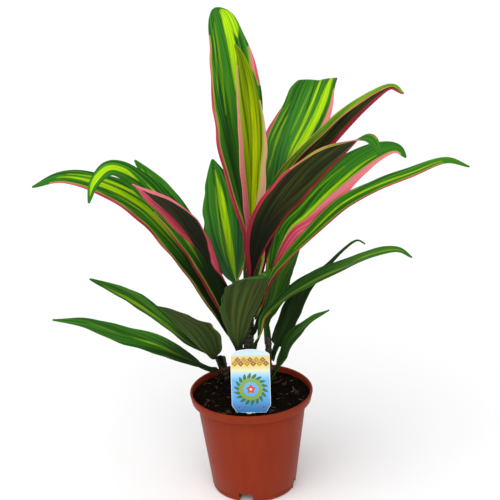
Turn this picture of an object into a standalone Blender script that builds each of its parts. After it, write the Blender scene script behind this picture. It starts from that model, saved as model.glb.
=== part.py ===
"""A potted ti plant: three canes of long folded leaves, soil, a nursery pot and a plant label.

Metres, +Z up. The origin is the middle of the pot's underside, which stands on the floor at z = 0.
+X is the viewer's right and -Y faces the viewer. Sizes below are in millimetres, times MM.
"""

import math
from dataclasses import dataclass

import bmesh
import bpy
from mathutils import Matrix, Vector, noise
from mathutils.geometry import interpolate_bezier

MM = 0.001
GAP = 0.3 * MM  # left between pieces that touch in the real plant

# Pot: a standard 13 cm nursery pot, injection moulded with a thin wall
POT_HEIGHT = 111 * MM
RIM_RADIUS = 65 * MM
RIM_FOOT_RADIUS = 63.4 * MM
RIM_HEIGHT = 9.5 * MM
LIP_RADIUS = 1.3 * MM
BODY_TOP_RADIUS = 58 * MM
BASE_RADIUS = 44.5 * MM
BASE_ROUNDING = 2.5 * MM
WALL = 1.4 * MM
POT_SIDES = 60
FOOT_NOTCHES = 4
FIRST_NOTCH_ANGLE = math.radians(-102.5)
NOTCH_WIDTH = 15 * MM
NOTCH_HEIGHT = 10.5 * MM
NOTCH_DEPTH = 26 * MM
DRAIN_RADIUS = 3.5 * MM
DRAIN_INSET = 8 * MM

# Soil: filled to just below the rim, over the shelf inside it, a little higher in the middle
SOIL_TOP = 104.6 * MM
SOIL_MOUND = 0.6 * MM
SOIL_ROUGHNESS = 1.6 * MM
SOIL_RINGS = 9
SOIL_SIDES = 36

# Label: a thin plastic card with an arched top, pushed into the soil before the canes
LABEL_WIDTH = 40 * MM
LABEL_HEIGHT = 68.5 * MM
LABEL_THICKNESS = 0.7 * MM
LABEL_SHOULDER = 6.5 * MM
LABEL_CHAMFER = 5 * MM
STAKE_WIDTH = 11 * MM
STAKE_LENGTH = 34 * MM
LABEL_FOOT = Vector((-0.4, -45, 106)) * MM
LABEL_LEAN = math.radians(5)
LABEL_TURN = math.radians(-3)

# Leaves: one blade is a grid of cells along and across, given its thickness on the underside
CELLS_ALONG = 24
CELLS_ACROSS = 4
BLADE_THICKNESS = 0.8 * MM
STALK_THICKNESS = 1.6 * MM
STALK_HALF_WIDTH = 4.6 * MM  # on a blade as broad as the next value, less on narrower ones
BROAD_BLADE = 50 * MM
STALK_FOLD = math.radians(52)
TIP_HALF_WIDTH = 0.9 * MM
SHEATH_RISE = 12 * MM
SHEATH_FOLD = math.radians(12)


@dataclass
class Cane:
    """One upright stem: where it leaves the soil, where it ends, and its radius."""

    foot: tuple
    top: tuple
    radius: float
    depth: float  # how far it goes down into the soil
    sides: int = 12

    def axis_at(self, height):
        foot, top = Vector(self.foot), Vector(self.top)
        return foot.lerp(top, (height - foot.z) / (top.z - foot.z))


@dataclass
class Leaf:
    """One leaf, in millimetres.

    way: points that the midrib passes after it leaves the cane, the last one being the tip.
    faces: the way the upper face looks, evenly spaced from the stalk to the tip.
    """

    cane: str
    height: float
    way: tuple
    width: float
    faces: tuple
    fold: float = 22
    curl: float = -8
    stalk: float = 0.18
    broadest: float = 0.5
    point: float = 0.85  # above 1 the tip is drawn out thin
    spread: float = 4.5
    wave: float = 1.2
    waves: float = 2.5
    phase: float = 0.0
    edge: str = "pink"


CANES = {
    "cane_middle": Cane(foot=(-3, 9, 104), top=(2, 9, 242), radius=5.5, depth=60),
    "cane_left": Cane(foot=(-27, 38, 104), top=(-30, 35, 134), radius=3.5, depth=24),
    "cane_right": Cane(foot=(19, 20, 104), top=(20, 19, 162), radius=3.5, depth=40),
}

LEAVES = {
    # The crown of the middle cane
    "leaf_rolled": Leaf(
        "cane_middle", 232,
        ((4, -1, 262), (6, 4, 292), (9, 8, 338), (11, 11, 384), (9, 14, 423), (3, 18, 458), (-4, 22, 473)),
        width=40, faces=((0.2, -1, 0), (-0.2, -1, 0)), fold=55),
    "leaf_tallest": Leaf(
        "cane_middle", 224,
        ((1, 24, 258), (1, 30, 285), (-2, 40, 341), (-4, 50, 401), (-9, 60, 452), (-16, 70, 486),
         (-23, 92, 499)),
        width=50, faces=((0, -1, 0.1), (0.1, -1, 0.4)), fold=16, broadest=0.53, point=0.58),
    "leaf_bent_top": Leaf(
        "cane_middle", 210,
        ((17, 27, 263), (27, 31, 303), (43, 40, 351), (54, 50, 372), (66, 62, 394), (75, 74, 411),
         (81, 88, 420), (83, 106, 413), (85, 124, 388)),
        width=58, faces=((-0.3, -1, 0), (-0.15, -0.8, 0.4), (0, 0.3, 1)), fold=12, broadest=0.52, point=0.8),
    "leaf_middle_left": Leaf(
        "cane_middle", 202,
        ((-13, 26, 226), (-18, 33, 250), (-21, 38, 277), (-24, 44, 308), (-28, 49, 331), (-32, 54, 349)),
        width=46, faces=((0.1, -1, 0), (0, -1, 0.3)), fold=14, broadest=0.44),
    "leaf_upper_right": Leaf(
        "cane_middle", 206,
        ((18, -6, 258), (30, -14, 321), (54, -28, 362), (81, -38, 391), (102, -46, 414), (136, -55, 441),
         (151, -60, 436)),
        width=32, faces=((-0.5, 0.8, 0.3), (-0.3, 0.8, 0.5)), fold=14),
    "leaf_dark_right": Leaf(
        "cane_middle", 198,
        ((3, -12, 240), (11, -22, 281), (23, -32, 310), (44, -48, 341), (67, -66, 370), (92, -82, 393),
         (114, -96, 404), (125, -106, 390)),
        width=44, faces=((-0.3, 0.9, 0.2), (-0.25, 0.85, 0.4), (-0.1, 0.4, 1)), fold=14),
    "leaf_edged_right": Leaf(
        "cane_middle", 188,
        ((25, 12, 240), (41, 6, 283), (60, 0, 304), (85, -10, 333), (112, -20, 359), (136, -28, 374),
         (149, -32, 376), (157, -36, 368)),
        width=38, faces=((0, -0.8, 0.6), (0, -0.7, 0.7)), fold=14),
    "leaf_longest_right": Leaf(
        "cane_middle", 172,
        ((22, -7, 234), (39, -16, 262), (64, -28, 292), (94, -44, 326), (125, -58, 347), (156, -70, 362),
         (187, -80, 376), (209, -86, 371)),
        width=22, faces=((0, -0.5, 0.9), (0, -0.4, 0.9)), fold=14),
    "leaf_dark_left": Leaf(
        "cane_middle", 188,
        ((-19, -12, 222), (-28, -24, 249), (-36, -34, 270), (-45, -43, 290), (-55, -53, 308),
         (-66, -63, 326), (-77, -73, 340), (-89, -84, 355), (-102, -94, 368)),
        width=38, faces=((0.4, 0.8, 0.4), (0.3, 0.7, 0.7)), fold=14, stalk=0.34, broadest=0.62, point=1.5),
    "leaf_back_left": Leaf(
        "cane_middle", 176,
        ((-22, 22, 200), (-34, 28, 218), (-50, 34, 251), (-68, 40, 287), (-89, 46, 323), (-112, 50, 352)),
        width=31, faces=((0.3, -0.8, 0.4), (0.3, -0.8, 0.6)), fold=14, stalk=0.12),
    "leaf_arched_left": Leaf(
        "cane_middle", 168,
        ((-23, -2, 201), (-35, -8, 239), (-50, -17, 276), (-68, -28, 310), (-86, -40, 338),
         (-102, -49, 358), (-115, -55, 370), (-128, -60, 373), (-141, -65, 361), (-147, -68, 343)),
        width=32, faces=((0.3, -0.7, 0.6), (0, -0.6, 0.8)), fold=14, stalk=0.06),
    "leaf_longest_left": Leaf(
        "cane_middle", 150,
        ((-19, 8, 172), (-32, 4, 207), (-50, 0, 247), (-73, -5, 285), (-102, -12, 321), (-136, -20, 345),
         (-174, -28, 358), (-205, -34, 351)),
        width=34, faces=((0.3, -0.7, 0.6), (0, -0.6, 0.8)), fold=14, stalk=0.06),
    "leaf_front": Leaf(
        "cane_middle", 132,
        ((-12, -8, 166), (-10, -20, 199), (-4, -34, 228), (3, -50, 249), (10, -66, 263), (17, -80, 267)),
        width=50, faces=((0, 1, 0.2), (-0.4, 0.5, 0.8)), fold=16, broadest=0.6, point=0.45, edge="plain"),
    # The left shoot
    "leaf_front_left": Leaf(
        "cane_left", 126,
        ((-40, 20, 139), (-47, 8, 152), (-61, -8, 175), (-74, -24, 197), (-84, -38, 218), (-92, -48, 229)),
        width=60, faces=((0.5, 0.6, 0.5), (0.3, 0.5, 0.8)), fold=40, broadest=0.42, point=1.5, edge="plain"),
    "leaf_low_left": Leaf(
        "cane_left", 118,
        ((-42, 46, 131), (-61, 39, 148), (-86, 30, 177), (-115, 24, 205), (-141, 18, 223), (-163, 12, 237)),
        width=18, faces=((0.2, -0.6, 0.8), (0.2, -0.6, 0.8)), fold=18, edge="plain"),
    "leaf_lowest_left": Leaf(
        "cane_left", 108,
        ((-46, 26, 124), (-70, 24, 139), (-100, 16, 159), (-135, 4, 177), (-169, -8, 196),
         (-200, -18, 205)),
        width=22, faces=((0.2, -0.8, 0.6), (0, -0.6, 0.8)), fold=18, broadest=0.43, point=1.1, edge="plain"),
    # The right shoot
    "leaf_back_right": Leaf(
        "cane_right", 152,
        ((19, 32, 182), (28, 36, 203), (36, 42, 226), (46, 46, 240), (56, 50, 251)),
        width=27, faces=((-0.2, -1, 0.2), (-0.2, -1, 0.5)), fold=18, edge="plain"),
    "leaf_low_right": Leaf(
        "cane_middle", 146,
        ((11, -9, 178), (15, -9, 196), (28, -10, 210), (43, -12, 223), (66, -17, 239), (98, -30, 258),
         (126, -44, 274), (147, -52, 280), (161, -56, 273)),
        width=20, faces=((-0.2, -0.4, 0.9), (0, -0.35, 0.95)), fold=18, edge="plain"),
    "leaf_curled_right": Leaf(
        "cane_right", 134,
        ((37, 26, 166), (47, 32, 186), (61, 38, 208), (88, 48, 232), (106, 54, 247), (118, 58, 253),
         (127, 60, 248)),
        width=24, faces=((-0.4, -0.7, 0.6), (-0.2, -0.5, 0.9)), fold=18, stalk=0.1, broadest=0.25,
        point=3.5, edge="plain"),
    "leaf_lowest_right": Leaf(
        "cane_right", 112,
        ((34, 12, 141), (42, 6, 162), (54, -2, 179), (66, -10, 193), (82, -20, 206)),
        width=16, faces=((-0.3, -0.6, 0.7), (-0.2, -0.5, 0.9)), fold=18, broadest=0.38, point=1.3,
        edge="plain"),
}

# Colour (linear), roughness and metallic value of each finish
FINISHES = {
    "terracotta plastic": ((0.34, 0.055, 0.026), 0.42, 0.0),
    "peat": ((0.016, 0.009, 0.005), 0.95, 0.0),
    "label card": ((0.18, 0.45, 0.80), 0.30, 0.0),
    "cane bark": ((0.10, 0.075, 0.035), 0.75, 0.0),
    "leaf with pink edge": ((0.045, 0.17, 0.018), 0.38, 0.0),
    "leaf with plain edge": ((0.030, 0.11, 0.016), 0.40, 0.0),
}


def finish(name):
    """The material of that name, made the first time that it is asked for."""
    if name in bpy.data.materials:
        return bpy.data.materials[name]
    colour, roughness, metallic = FINISHES[name]
    material = bpy.data.materials.new(name)
    material.use_nodes = True
    shader = material.node_tree.nodes["Principled BSDF"]
    shader.inputs["Base Color"].default_value = (*colour, 1)
    shader.inputs["Roughness"].default_value = roughness
    shader.inputs["Metallic"].default_value = metallic
    return material


def add_object(name, mesh_data, material):
    """Turns a bmesh into a named object with its material, shaded smooth but for sharp edges."""
    mesh = bpy.data.meshes.new(name)
    bmesh.ops.recalc_face_normals(mesh_data, faces=mesh_data.faces)
    mesh_data.to_mesh(mesh)
    mesh_data.free()
    mesh.materials.append(finish(material))
    mesh.shade_smooth()
    mesh.set_sharp_from_angle(angle=math.radians(35))
    piece = bpy.data.objects.new(name, mesh)
    bpy.context.collection.objects.link(piece)
    return piece


def turned(name, profile, sides, material):
    """A solid of revolution about Z from (radius, height) points that start and end on the axis."""
    shape = bmesh.new()
    points = [shape.verts.new((radius, 0, height)) for radius, height in profile]
    edges = [shape.edges.new(pair) for pair in zip(points, points[1:])]
    bmesh.ops.spin(
        shape, geom=points + edges, cent=(0, 0, 0), axis=(0, 0, 1),
        angle=2 * math.pi, steps=sides, use_merge=True)
    bmesh.ops.remove_doubles(shape, verts=shape.verts, dist=1e-6)
    return add_object(name, shape, material)


def box(name, low, high, turn=None):
    """A cutter: an axis-aligned box that is then turned by a matrix."""
    shape = bmesh.new()
    size = [b - a for a, b in zip(low, high)]
    middle = [(a + b) / 2 for a, b in zip(low, high)]
    place = Matrix.Translation(middle) @ Matrix.Diagonal((*size, 1))
    bmesh.ops.create_cube(shape, size=1, matrix=place)
    if turn:
        bmesh.ops.transform(shape, matrix=turn, verts=shape.verts)
    return as_cutter(add_object(name, shape, "peat"))


def cylinder(name, radius, start, end, sides=24):
    """A cutter: a cylinder between two points."""
    axis = Vector(end) - Vector(start)
    turn = axis.to_track_quat("Z", "Y").to_matrix().to_4x4()
    place = Matrix.Translation((Vector(start) + Vector(end)) / 2) @ turn
    shape = bmesh.new()
    bmesh.ops.create_cone(
        shape, cap_ends=True, segments=sides, radius1=radius, radius2=radius, depth=axis.length, matrix=place)
    return as_cutter(add_object(name, shape, "peat"))


def as_cutter(piece):
    piece.hide_render = True
    piece.display_type = "WIRE"
    return piece


def cut(piece, cutters, operation="DIFFERENCE"):
    """Applies the cutters to the piece one after the other, with live Boolean modifiers."""
    for cutter in cutters:
        modifier = piece.modifiers.new(cutter.name, "BOOLEAN")
        modifier.operation = operation
        modifier.object = cutter
        modifier.solver = "EXACT"


def arc(centre, radius, start, end, steps):
    """Points (radius, height) along an arc, its angles in degrees."""
    angles = [math.radians(start + (end - start) * step / steps) for step in range(steps + 1)]
    return [(centre[0] + radius * math.cos(a), centre[1] + radius * math.sin(a)) for a in angles]


def wall_radius(height):
    """The pot's outer radius at a height on its tapered body."""
    return BASE_RADIUS + (BODY_TOP_RADIUS - BASE_RADIUS) * height / (POT_HEIGHT - RIM_HEIGHT)


def notch_turn(index):
    """Turns +X to face one of the notches round the foot."""
    return Matrix.Rotation(FIRST_NOTCH_ANGLE + index * 2 * math.pi / FOOT_NOTCHES, 4, "Z")


def notch_blocks(name, grown, bottom, reach):
    """The notches as blocks, grown by a wall or a gap on their inner side, flanks and roof."""
    blocks = []
    for index in range(FOOT_NOTCHES):
        low = (BASE_RADIUS - NOTCH_DEPTH - grown, -NOTCH_WIDTH / 2 - grown, bottom)
        high = (reach, NOTCH_WIDTH / 2 + grown, NOTCH_HEIGHT + grown)
        blocks.append(box(f"{name}_{index}", low, high, notch_turn(index)))
    return blocks


def make_pot():
    """A tapered body with an overhanging rim, and deep notches in its foot that it drains into."""
    collar = POT_HEIGHT - RIM_HEIGHT
    lip = (RIM_RADIUS - LIP_RADIUS, POT_HEIGHT - LIP_RADIUS)
    rounding = (BASE_RADIUS - BASE_ROUNDING, BASE_ROUNDING)
    shelf = collar + WALL
    outer = [(0, 0)]
    outer += arc(rounding, BASE_ROUNDING, -90, 0, 4)
    outer += [(wall_radius(collar), collar), (RIM_FOOT_RADIUS, collar)]
    outer += arc(lip, LIP_RADIUS, 0, 180, 6)
    outer += [(RIM_FOOT_RADIUS - WALL, shelf), (wall_radius(shelf) - WALL, shelf)]
    outer += [(wall_radius(WALL * 2) - WALL, WALL * 2), (wall_radius(WALL) - 2 * WALL, WALL)]
    outer += [(0, WALL)]
    pot = turned("pot", outer, POT_SIDES, "terracotta plastic")
    cut(pot, notch_blocks("roof", WALL, WALL / 2, BASE_RADIUS - WALL / 2), "UNION")
    cut(pot, notch_blocks("notch", 0, -1 * MM, BASE_RADIUS + 5 * MM))
    drains = []
    for index in range(FOOT_NOTCHES):
        spot = notch_turn(index) @ Vector((BASE_RADIUS - NOTCH_DEPTH + DRAIN_INSET, 0, NOTCH_HEIGHT))
        low, high = spot - Vector((0, 0, WALL)), spot + Vector((0, 0, 2 * WALL))
        drains.append(cylinder(f"drain_{index}", DRAIN_RADIUS, low, high))
    cut(pot, drains)


def soil_height(x, y):
    """The lumpy top of the soil, which flattens out where it meets the rim."""
    place = Vector((x, y, 0))
    radius = min(place.length / RIM_FOOT_RADIUS, 1)
    lumps = noise.noise(place / (11 * MM)) + 0.6 * noise.noise(place / (5 * MM))
    return SOIL_TOP + SOIL_MOUND * (1 - radius ** 2) + SOIL_ROUGHNESS * lumps * (1 - radius ** 6)


def soil_ring(shape, radius, height, twist):
    """One ring of points; its height is a number, or a function of the place."""
    angles = [2 * math.pi * (side + twist) / SOIL_SIDES for side in range(SOIL_SIDES)]
    spots = [(radius * math.cos(angle), radius * math.sin(angle)) for angle in angles]
    return [shape.verts.new((x, y, height(x, y) if callable(height) else height)) for x, y in spots]


def make_soil():
    """The root ball: it fills the pot, with room for its notches, the canes and the label's stake."""
    shape = bmesh.new()
    shelf = POT_HEIGHT - RIM_HEIGHT + WALL
    floor = 2 * WALL + GAP
    edge = RIM_FOOT_RADIUS - WALL - GAP
    crown = shape.verts.new((0, 0, soil_height(0, 0)))
    rings = []
    for ring in range(1, SOIL_RINGS + 1):
        rings.append(soil_ring(shape, edge * ring / SOIL_RINGS, soil_height, 0.5 * (ring % 2)))
    last_twist = 0.5 * (SOIL_RINGS % 2)
    rings.append(soil_ring(shape, edge, shelf + GAP, last_twist))
    rings.append(soil_ring(shape, wall_radius(shelf) - WALL - GAP, shelf + GAP, last_twist))
    rings.append(soil_ring(shape, wall_radius(floor) - WALL - GAP, floor, last_twist))
    for side in range(SOIL_SIDES):
        after = (side + 1) % SOIL_SIDES
        shape.faces.new((crown, rings[0][side], rings[0][after]))
    for index, (inner, outer) in enumerate(zip(rings, rings[1:])):
        shift = 1 if index % 2 == 0 and index < SOIL_RINGS - 1 else 0
        for side in range(SOIL_SIDES):
            near, far = (side + shift) % SOIL_SIDES, (side + 1) % SOIL_SIDES
            beyond = (side + 1 + shift) % SOIL_SIDES
            shape.faces.new((inner[side], outer[near], inner[far]))
            shape.faces.new((inner[far], outer[near], outer[beyond]))
    shape.faces.new(list(reversed(rings[-1])))
    soil = add_object("soil", shape, "peat")
    cutters = notch_blocks("room", WALL + GAP, 0, BASE_RADIUS + 5 * MM)
    for name, cane in CANES.items():
        low = cane.axis_at(cane.foot[2] - cane.depth - 1) * MM
        high = cane.axis_at(cane.foot[2] + 15) * MM
        cutters.append(cylinder("hole_" + name, cane.radius * MM + GAP, low, high, cane.sides * 2))
    cutters.append(label_slot())
    cut(soil, cutters)


def label_frame():
    """Where the label stands: its lower edge's middle, turned and leaning back."""
    lean = Matrix.Rotation(-LABEL_LEAN, 4, "X")
    return Matrix.Translation(LABEL_FOOT) @ Matrix.Rotation(LABEL_TURN, 4, "Z") @ lean


def label_slot():
    half = STAKE_WIDTH / 2 + GAP
    depth = LABEL_THICKNESS / 2 + GAP
    return box("slot_label", (-half, -depth, -STAKE_LENGTH - GAP), (half, depth, 10 * MM), label_frame())


def make_label():
    """A flat card with an arched top and slanted lower corners, on a pointed stake."""
    half, stake = LABEL_WIDTH / 2, STAKE_WIDTH / 2
    shoulder = LABEL_HEIGHT - LABEL_SHOULDER
    taper = 6 * MM - STAKE_LENGTH
    outline = [(-stake, 0), (-stake, taper), (0, -STAKE_LENGTH), (stake, taper), (stake, 0)]
    outline += [(half - LABEL_CHAMFER, 0), (half, LABEL_CHAMFER * 1.6)]
    for step in range(11):
        angle = math.pi * step / 10
        outline.append((half * math.cos(angle), shoulder + LABEL_SHOULDER * math.sin(angle)))
    outline += [(-half, LABEL_CHAMFER * 1.6), (LABEL_CHAMFER - half, 0)]
    shape = bmesh.new()
    face = shape.faces.new([shape.verts.new((x, -LABEL_THICKNESS / 2, z)) for x, z in outline])
    grown = bmesh.ops.extrude_face_region(shape, geom=[face])
    moved = [item for item in grown["geom"] if isinstance(item, bmesh.types.BMVert)]
    bmesh.ops.translate(shape, vec=(0, LABEL_THICKNESS, 0), verts=moved)
    bmesh.ops.transform(shape, matrix=label_frame(), verts=shape.verts)
    add_object("plant_label", shape, "label card")


def make_cane(name, cane):
    """A round stem with a faint ring at each old leaf scar and a rounded top."""
    low = cane.axis_at(cane.foot[2] - cane.depth)
    high = Vector(cane.top)
    length = (high - low).length
    profile = [(0, 0), (cane.radius, 0)]
    scars = int(length // 16)
    for scar in range(1, scars):
        height = length * scar / scars
        if height > cane.depth + 8:
            profile += [(cane.radius, height - 1.2), (cane.radius - 0.35, height)]
            profile += [(cane.radius, height + 1.2)]
    profile += [(cane.radius, length - 2), (cane.radius * 0.6, length), (0, length)]
    profile = [(radius * MM, height * MM) for radius, height in profile]
    stem = turned(name, profile, cane.sides, "cane bark")
    stem.location = low * MM
    stem.rotation_mode = "QUATERNION"
    stem.rotation_quaternion = (high - low).to_track_quat("Z", "Y")


def ease(value):
    """Goes smoothly from 0 to 1."""
    value = min(max(value, 0), 1)
    return value * value * (3 - 2 * value)


def smooth_way(points, count):
    """Evenly spaced points along the smooth curve through the given ones."""
    ends = [points[0] * 2 - points[1], *points, points[-1] * 2 - points[-2]]
    curve = []
    for before, start, end, after in zip(ends, ends[1:], ends[2:], ends[3:]):
        handles = start + (end - before) / 6, end - (after - start) / 6
        curve += interpolate_bezier(start, *handles, end, 17)[:-1]
    curve.append(points[-1])
    reached = [0.0]
    for start, end in zip(curve, curve[1:]):
        reached.append(reached[-1] + (end - start).length)
    even, index = [], 0
    for step in range(count):
        goal = reached[-1] * step / (count - 1)
        while index < len(curve) - 2 and reached[index + 1] < goal:
            index += 1
        share = (goal - reached[index]) / (reached[index + 1] - reached[index])
        even.append(curve[index].lerp(curve[index + 1], min(share, 1)))
    return even


def midrib_way(leaf):
    """The midrib's points: off the cane's side, up along it in the sheath, then the leaf's own way."""
    cane = CANES[leaf.cane]
    axis = cane.axis_at(leaf.height)
    rise = (Vector(cane.top) - Vector(cane.foot)).normalized()
    outward = Vector(leaf.way[0]) - axis
    outward = (outward - rise * outward.dot(rise)).normalized()
    start = axis + outward * (cane.radius / math.cos(SHEATH_FOLD) + GAP / MM * 1.5)
    sheath = start + rise * (SHEATH_RISE / MM) + outward * leaf.spread
    return [start * MM, sheath * MM, *(Vector(point) * MM for point in leaf.way)]


def half_width(leaf, along):
    """The blade's half width: a narrow stalk, then a long lance shape."""
    blade = max((along - leaf.stalk) / (1 - leaf.stalk), 0)
    peak = math.log(0.5) / math.log(leaf.broadest)
    swell = math.sin(math.pi * blade ** peak) ** (0.85 if blade < leaf.broadest else leaf.point)
    stalk = STALK_HALF_WIDTH * (0.45 + 0.55 * leaf.width * MM / BROAD_BLADE)
    narrow = stalk + (TIP_HALF_WIDTH - stalk) * along ** 2
    return narrow + (leaf.width * MM / 2 - narrow) * swell


def face_at(leaf, along):
    """The way the upper face looks at a share of the leaf's length."""
    faces = [Vector(face).normalized() for face in leaf.faces]
    place = along * (len(faces) - 1)
    index = min(int(place), len(faces) - 2)
    return faces[index].lerp(faces[index + 1], ease(place - index))


def leaf_rows(leaf, along_cells, across_cells):
    """Rows of points over the upper face, from the stalk to the tip."""
    way = smooth_way(midrib_way(leaf), along_cells + 1)
    cane_face = (CANES[leaf.cane].axis_at(leaf.height) * MM - way[0]).normalized()
    rows = []
    for step, middle in enumerate(way):
        along = step / along_cells
        ahead = (way[min(step + 1, along_cells)] - way[max(step - 1, 0)]).normalized()
        face = cane_face.lerp(face_at(leaf, along), ease(along / leaf.stalk))
        up = (face - ahead * face.dot(ahead)).normalized()
        side = ahead.cross(up)
        half = half_width(leaf, along)
        into_blade = ease(along / (leaf.stalk * 1.8))
        fold = SHEATH_FOLD + (STALK_FOLD - SHEATH_FOLD) * ease(along / leaf.stalk)
        fold += (math.radians(leaf.fold) - fold) * into_blade
        curl = math.radians(leaf.curl) * into_blade
        row = []
        for column in range(across_cells + 1):
            across = 2 * column / across_cells - 1
            out = abs(across)
            tilt = fold + curl * out
            turn = 2 * math.pi * leaf.waves * along + leaf.phase + 1.9 * (across > 0)
            ripple = leaf.wave * MM * math.sin(turn) * out ** 2 * into_blade * (1 - along ** 3)
            lift = math.sin(tilt) * out * half + ripple
            row.append(middle + side * math.cos(tilt) * across * half + up * lift)
        rows.append(row)
    return rows


def make_leaf(name, leaf):
    """A blade split into triangles and thickened on its underside, thicker along the stalk."""
    rows = leaf_rows(leaf, CELLS_ALONG, CELLS_ACROSS)
    shape = bmesh.new()
    grid = [[shape.verts.new(point) for point in row] for row in rows]
    for low, high in zip(grid, grid[1:]):
        for column in range(CELLS_ACROSS):
            a, b, c, d = low[column], low[column + 1], high[column + 1], high[column]
            corners = (a, b, c), (a, c, d)
            if column < CELLS_ACROSS / 2:
                corners = (a, b, d), (b, c, d)
            for corner in corners:
                shape.faces.new(corner)
    mesh = bpy.data.meshes.new(name)
    shape.to_mesh(mesh)
    shape.free()
    mesh.materials.append(finish(f"leaf with {leaf.edge} edge"))
    mesh.shade_smooth()
    piece = bpy.data.objects.new(name, mesh)
    bpy.context.collection.objects.link(piece)
    stalk = piece.vertex_groups.new(name="stalk")
    for index, vertex in enumerate(mesh.vertices):
        along = index // (CELLS_ACROSS + 1) / CELLS_ALONG
        stalk.add([index], 1 - ease(along / (leaf.stalk * 2)), "REPLACE")
    thickness = piece.modifiers.new("thickness", "SOLIDIFY")
    thickness.thickness = STALK_THICKNESS
    thickness.offset = -1
    thickness.vertex_group = "stalk"
    thickness.thickness_vertex_group = BLADE_THICKNESS / STALK_THICKNESS


for old in list(bpy.data.objects):
    bpy.data.objects.remove(old, do_unlink=True)
make_pot()
make_soil()
make_label()
for cane_name, cane_shape in CANES.items():
    make_cane(cane_name, cane_shape)
for leaf_name, leaf_shape in LEAVES.items():
    make_leaf(leaf_name, leaf_shape)
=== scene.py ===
"""The looks of a potted ti plant: its pot, soil, plant label, canes and leaves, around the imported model."""

import math
import random
from dataclasses import dataclass

import bmesh
import bpy
from mathutils import Matrix, Vector, noise
from mathutils.geometry import interpolate_bezier


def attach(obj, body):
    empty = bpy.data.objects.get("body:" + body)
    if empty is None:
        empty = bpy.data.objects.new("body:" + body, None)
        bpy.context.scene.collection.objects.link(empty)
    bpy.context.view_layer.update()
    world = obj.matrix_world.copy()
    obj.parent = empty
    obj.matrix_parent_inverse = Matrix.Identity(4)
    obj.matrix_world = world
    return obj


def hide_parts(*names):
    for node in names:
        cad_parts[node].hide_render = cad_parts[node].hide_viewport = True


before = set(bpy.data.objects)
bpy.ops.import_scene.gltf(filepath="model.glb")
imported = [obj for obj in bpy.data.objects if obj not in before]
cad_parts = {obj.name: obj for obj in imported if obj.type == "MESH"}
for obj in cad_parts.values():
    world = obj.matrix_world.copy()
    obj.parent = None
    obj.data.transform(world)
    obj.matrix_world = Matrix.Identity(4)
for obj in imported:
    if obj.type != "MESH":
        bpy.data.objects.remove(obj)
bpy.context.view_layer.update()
MM = 0.001

# The camera stands where the photograph's did: a little above the leaves, looking down 19 degrees,
# turned 2 degrees about its own axis. The eye is worked out from the pot's rim and base.
CAMERA_EYE = Vector((3.75, -1177.4, 681.4)) * MM
CAMERA_PITCH = math.radians(19.4)
CAMERA_ROLL = math.radians(2.0)
CAMERA_LENS = 88.4
CAMERA_SENSOR = 36

bpy.ops.object.select_all(action="DESELECT")
level = Matrix.Rotation(math.pi / 2 - CAMERA_PITCH, 4, "X")
bpy.ops.object.camera_add(location=CAMERA_EYE)
camera = bpy.context.object
camera.matrix_world = Matrix.Translation(CAMERA_EYE) @ level @ Matrix.Rotation(-CAMERA_ROLL, 4, "Z")
camera.data.lens = CAMERA_LENS
camera.data.sensor_width = CAMERA_SENSOR
bpy.context.scene.camera = camera
bpy.context.scene.view_settings.view_transform = "Standard"


# A plain white floor, which runs out of view behind the plant, in soft studio light: one very broad
# light from high in front on the left, a weaker lamp on the right behind the camera, and a white room.
WHITE = "#ffffff"
FLOOR_REACH = 40
LAMP_PLACE = Vector((0.5, -1.9, 1.0))
LAMP_AIM = Vector((0, 0, 0.2))
LAMP_SIZE = 1.2
LAMP_POWER = 6
BROAD_LIGHT_TILT = (math.radians(34), math.radians(-22), 0)
BROAD_LIGHT_POWER = 1.8
BROAD_LIGHT_SPREAD = math.radians(75)
ROOM_BRIGHTNESS = 0.6


def linear(code):
    """An sRGB hex colour as the linear values that a material needs."""
    channels = [int(code[start:start + 2], 16) / 255 for start in (1, 3, 5)]
    return *(c / 12.92 if c < 0.04045 else ((c + 0.055) / 1.055) ** 2.4 for c in channels), 1


def plug(material, node, sockets):
    """Fills a node's sockets from values, hex colours, sockets, or other nodes' first outputs."""
    for name, value in sockets.items():
        if isinstance(value, str):
            value = linear(value)
        if isinstance(value, bpy.types.Node):
            value = value.outputs[0]
        if isinstance(value, bpy.types.NodeSocket):
            material.node_tree.links.new(value, node.inputs[name])
        else:
            node.inputs[name].default_value = value


def add(material, kind, sockets=None, **settings):
    """Adds a node with its settings and its sockets filled."""
    node = material.node_tree.nodes.new("ShaderNode" + kind)
    for name, value in settings.items():
        setattr(node, name, value)
    plug(material, node, sockets or {})
    return node


def new_material(name, **sockets):
    """A material with one principled shader, and that shader with its sockets filled."""
    material = bpy.data.materials.new(name)
    material.use_nodes = True
    shader = material.node_tree.nodes["Principled BSDF"]
    plug(material, shader, {socket.replace("_", " "): value for socket, value in sockets.items()})
    return material, shader


bpy.ops.object.select_all(action="DESELECT")
bpy.ops.mesh.primitive_plane_add(size=FLOOR_REACH)
floor = bpy.context.object
floor.name = "floor"
floor_paint, shader = new_material("matt white floor", Base_Color=WHITE, Roughness=0.9)
floor.data.materials.append(floor_paint)

bpy.ops.object.light_add(type="AREA", location=LAMP_PLACE)
lamp = bpy.context.object
lamp.name = "front_light"
lamp.rotation_euler = (LAMP_AIM - LAMP_PLACE).to_track_quat("-Z", "Y").to_euler()
lamp.data.size = LAMP_SIZE
lamp.data.energy = LAMP_POWER
bpy.ops.object.light_add(type="SUN", rotation=BROAD_LIGHT_TILT)
overhead = bpy.context.object
overhead.name = "overhead_light"
overhead.data.energy = BROAD_LIGHT_POWER
overhead.data.angle = BROAD_LIGHT_SPREAD
room = bpy.data.worlds.new("white studio")
room.use_nodes = True
backdrop = room.node_tree.nodes["Background"]
backdrop.inputs["Color"].default_value = linear(WHITE)
backdrop.inputs["Strength"].default_value = ROOM_BRIGHTNESS
bpy.context.scene.world = room


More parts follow.
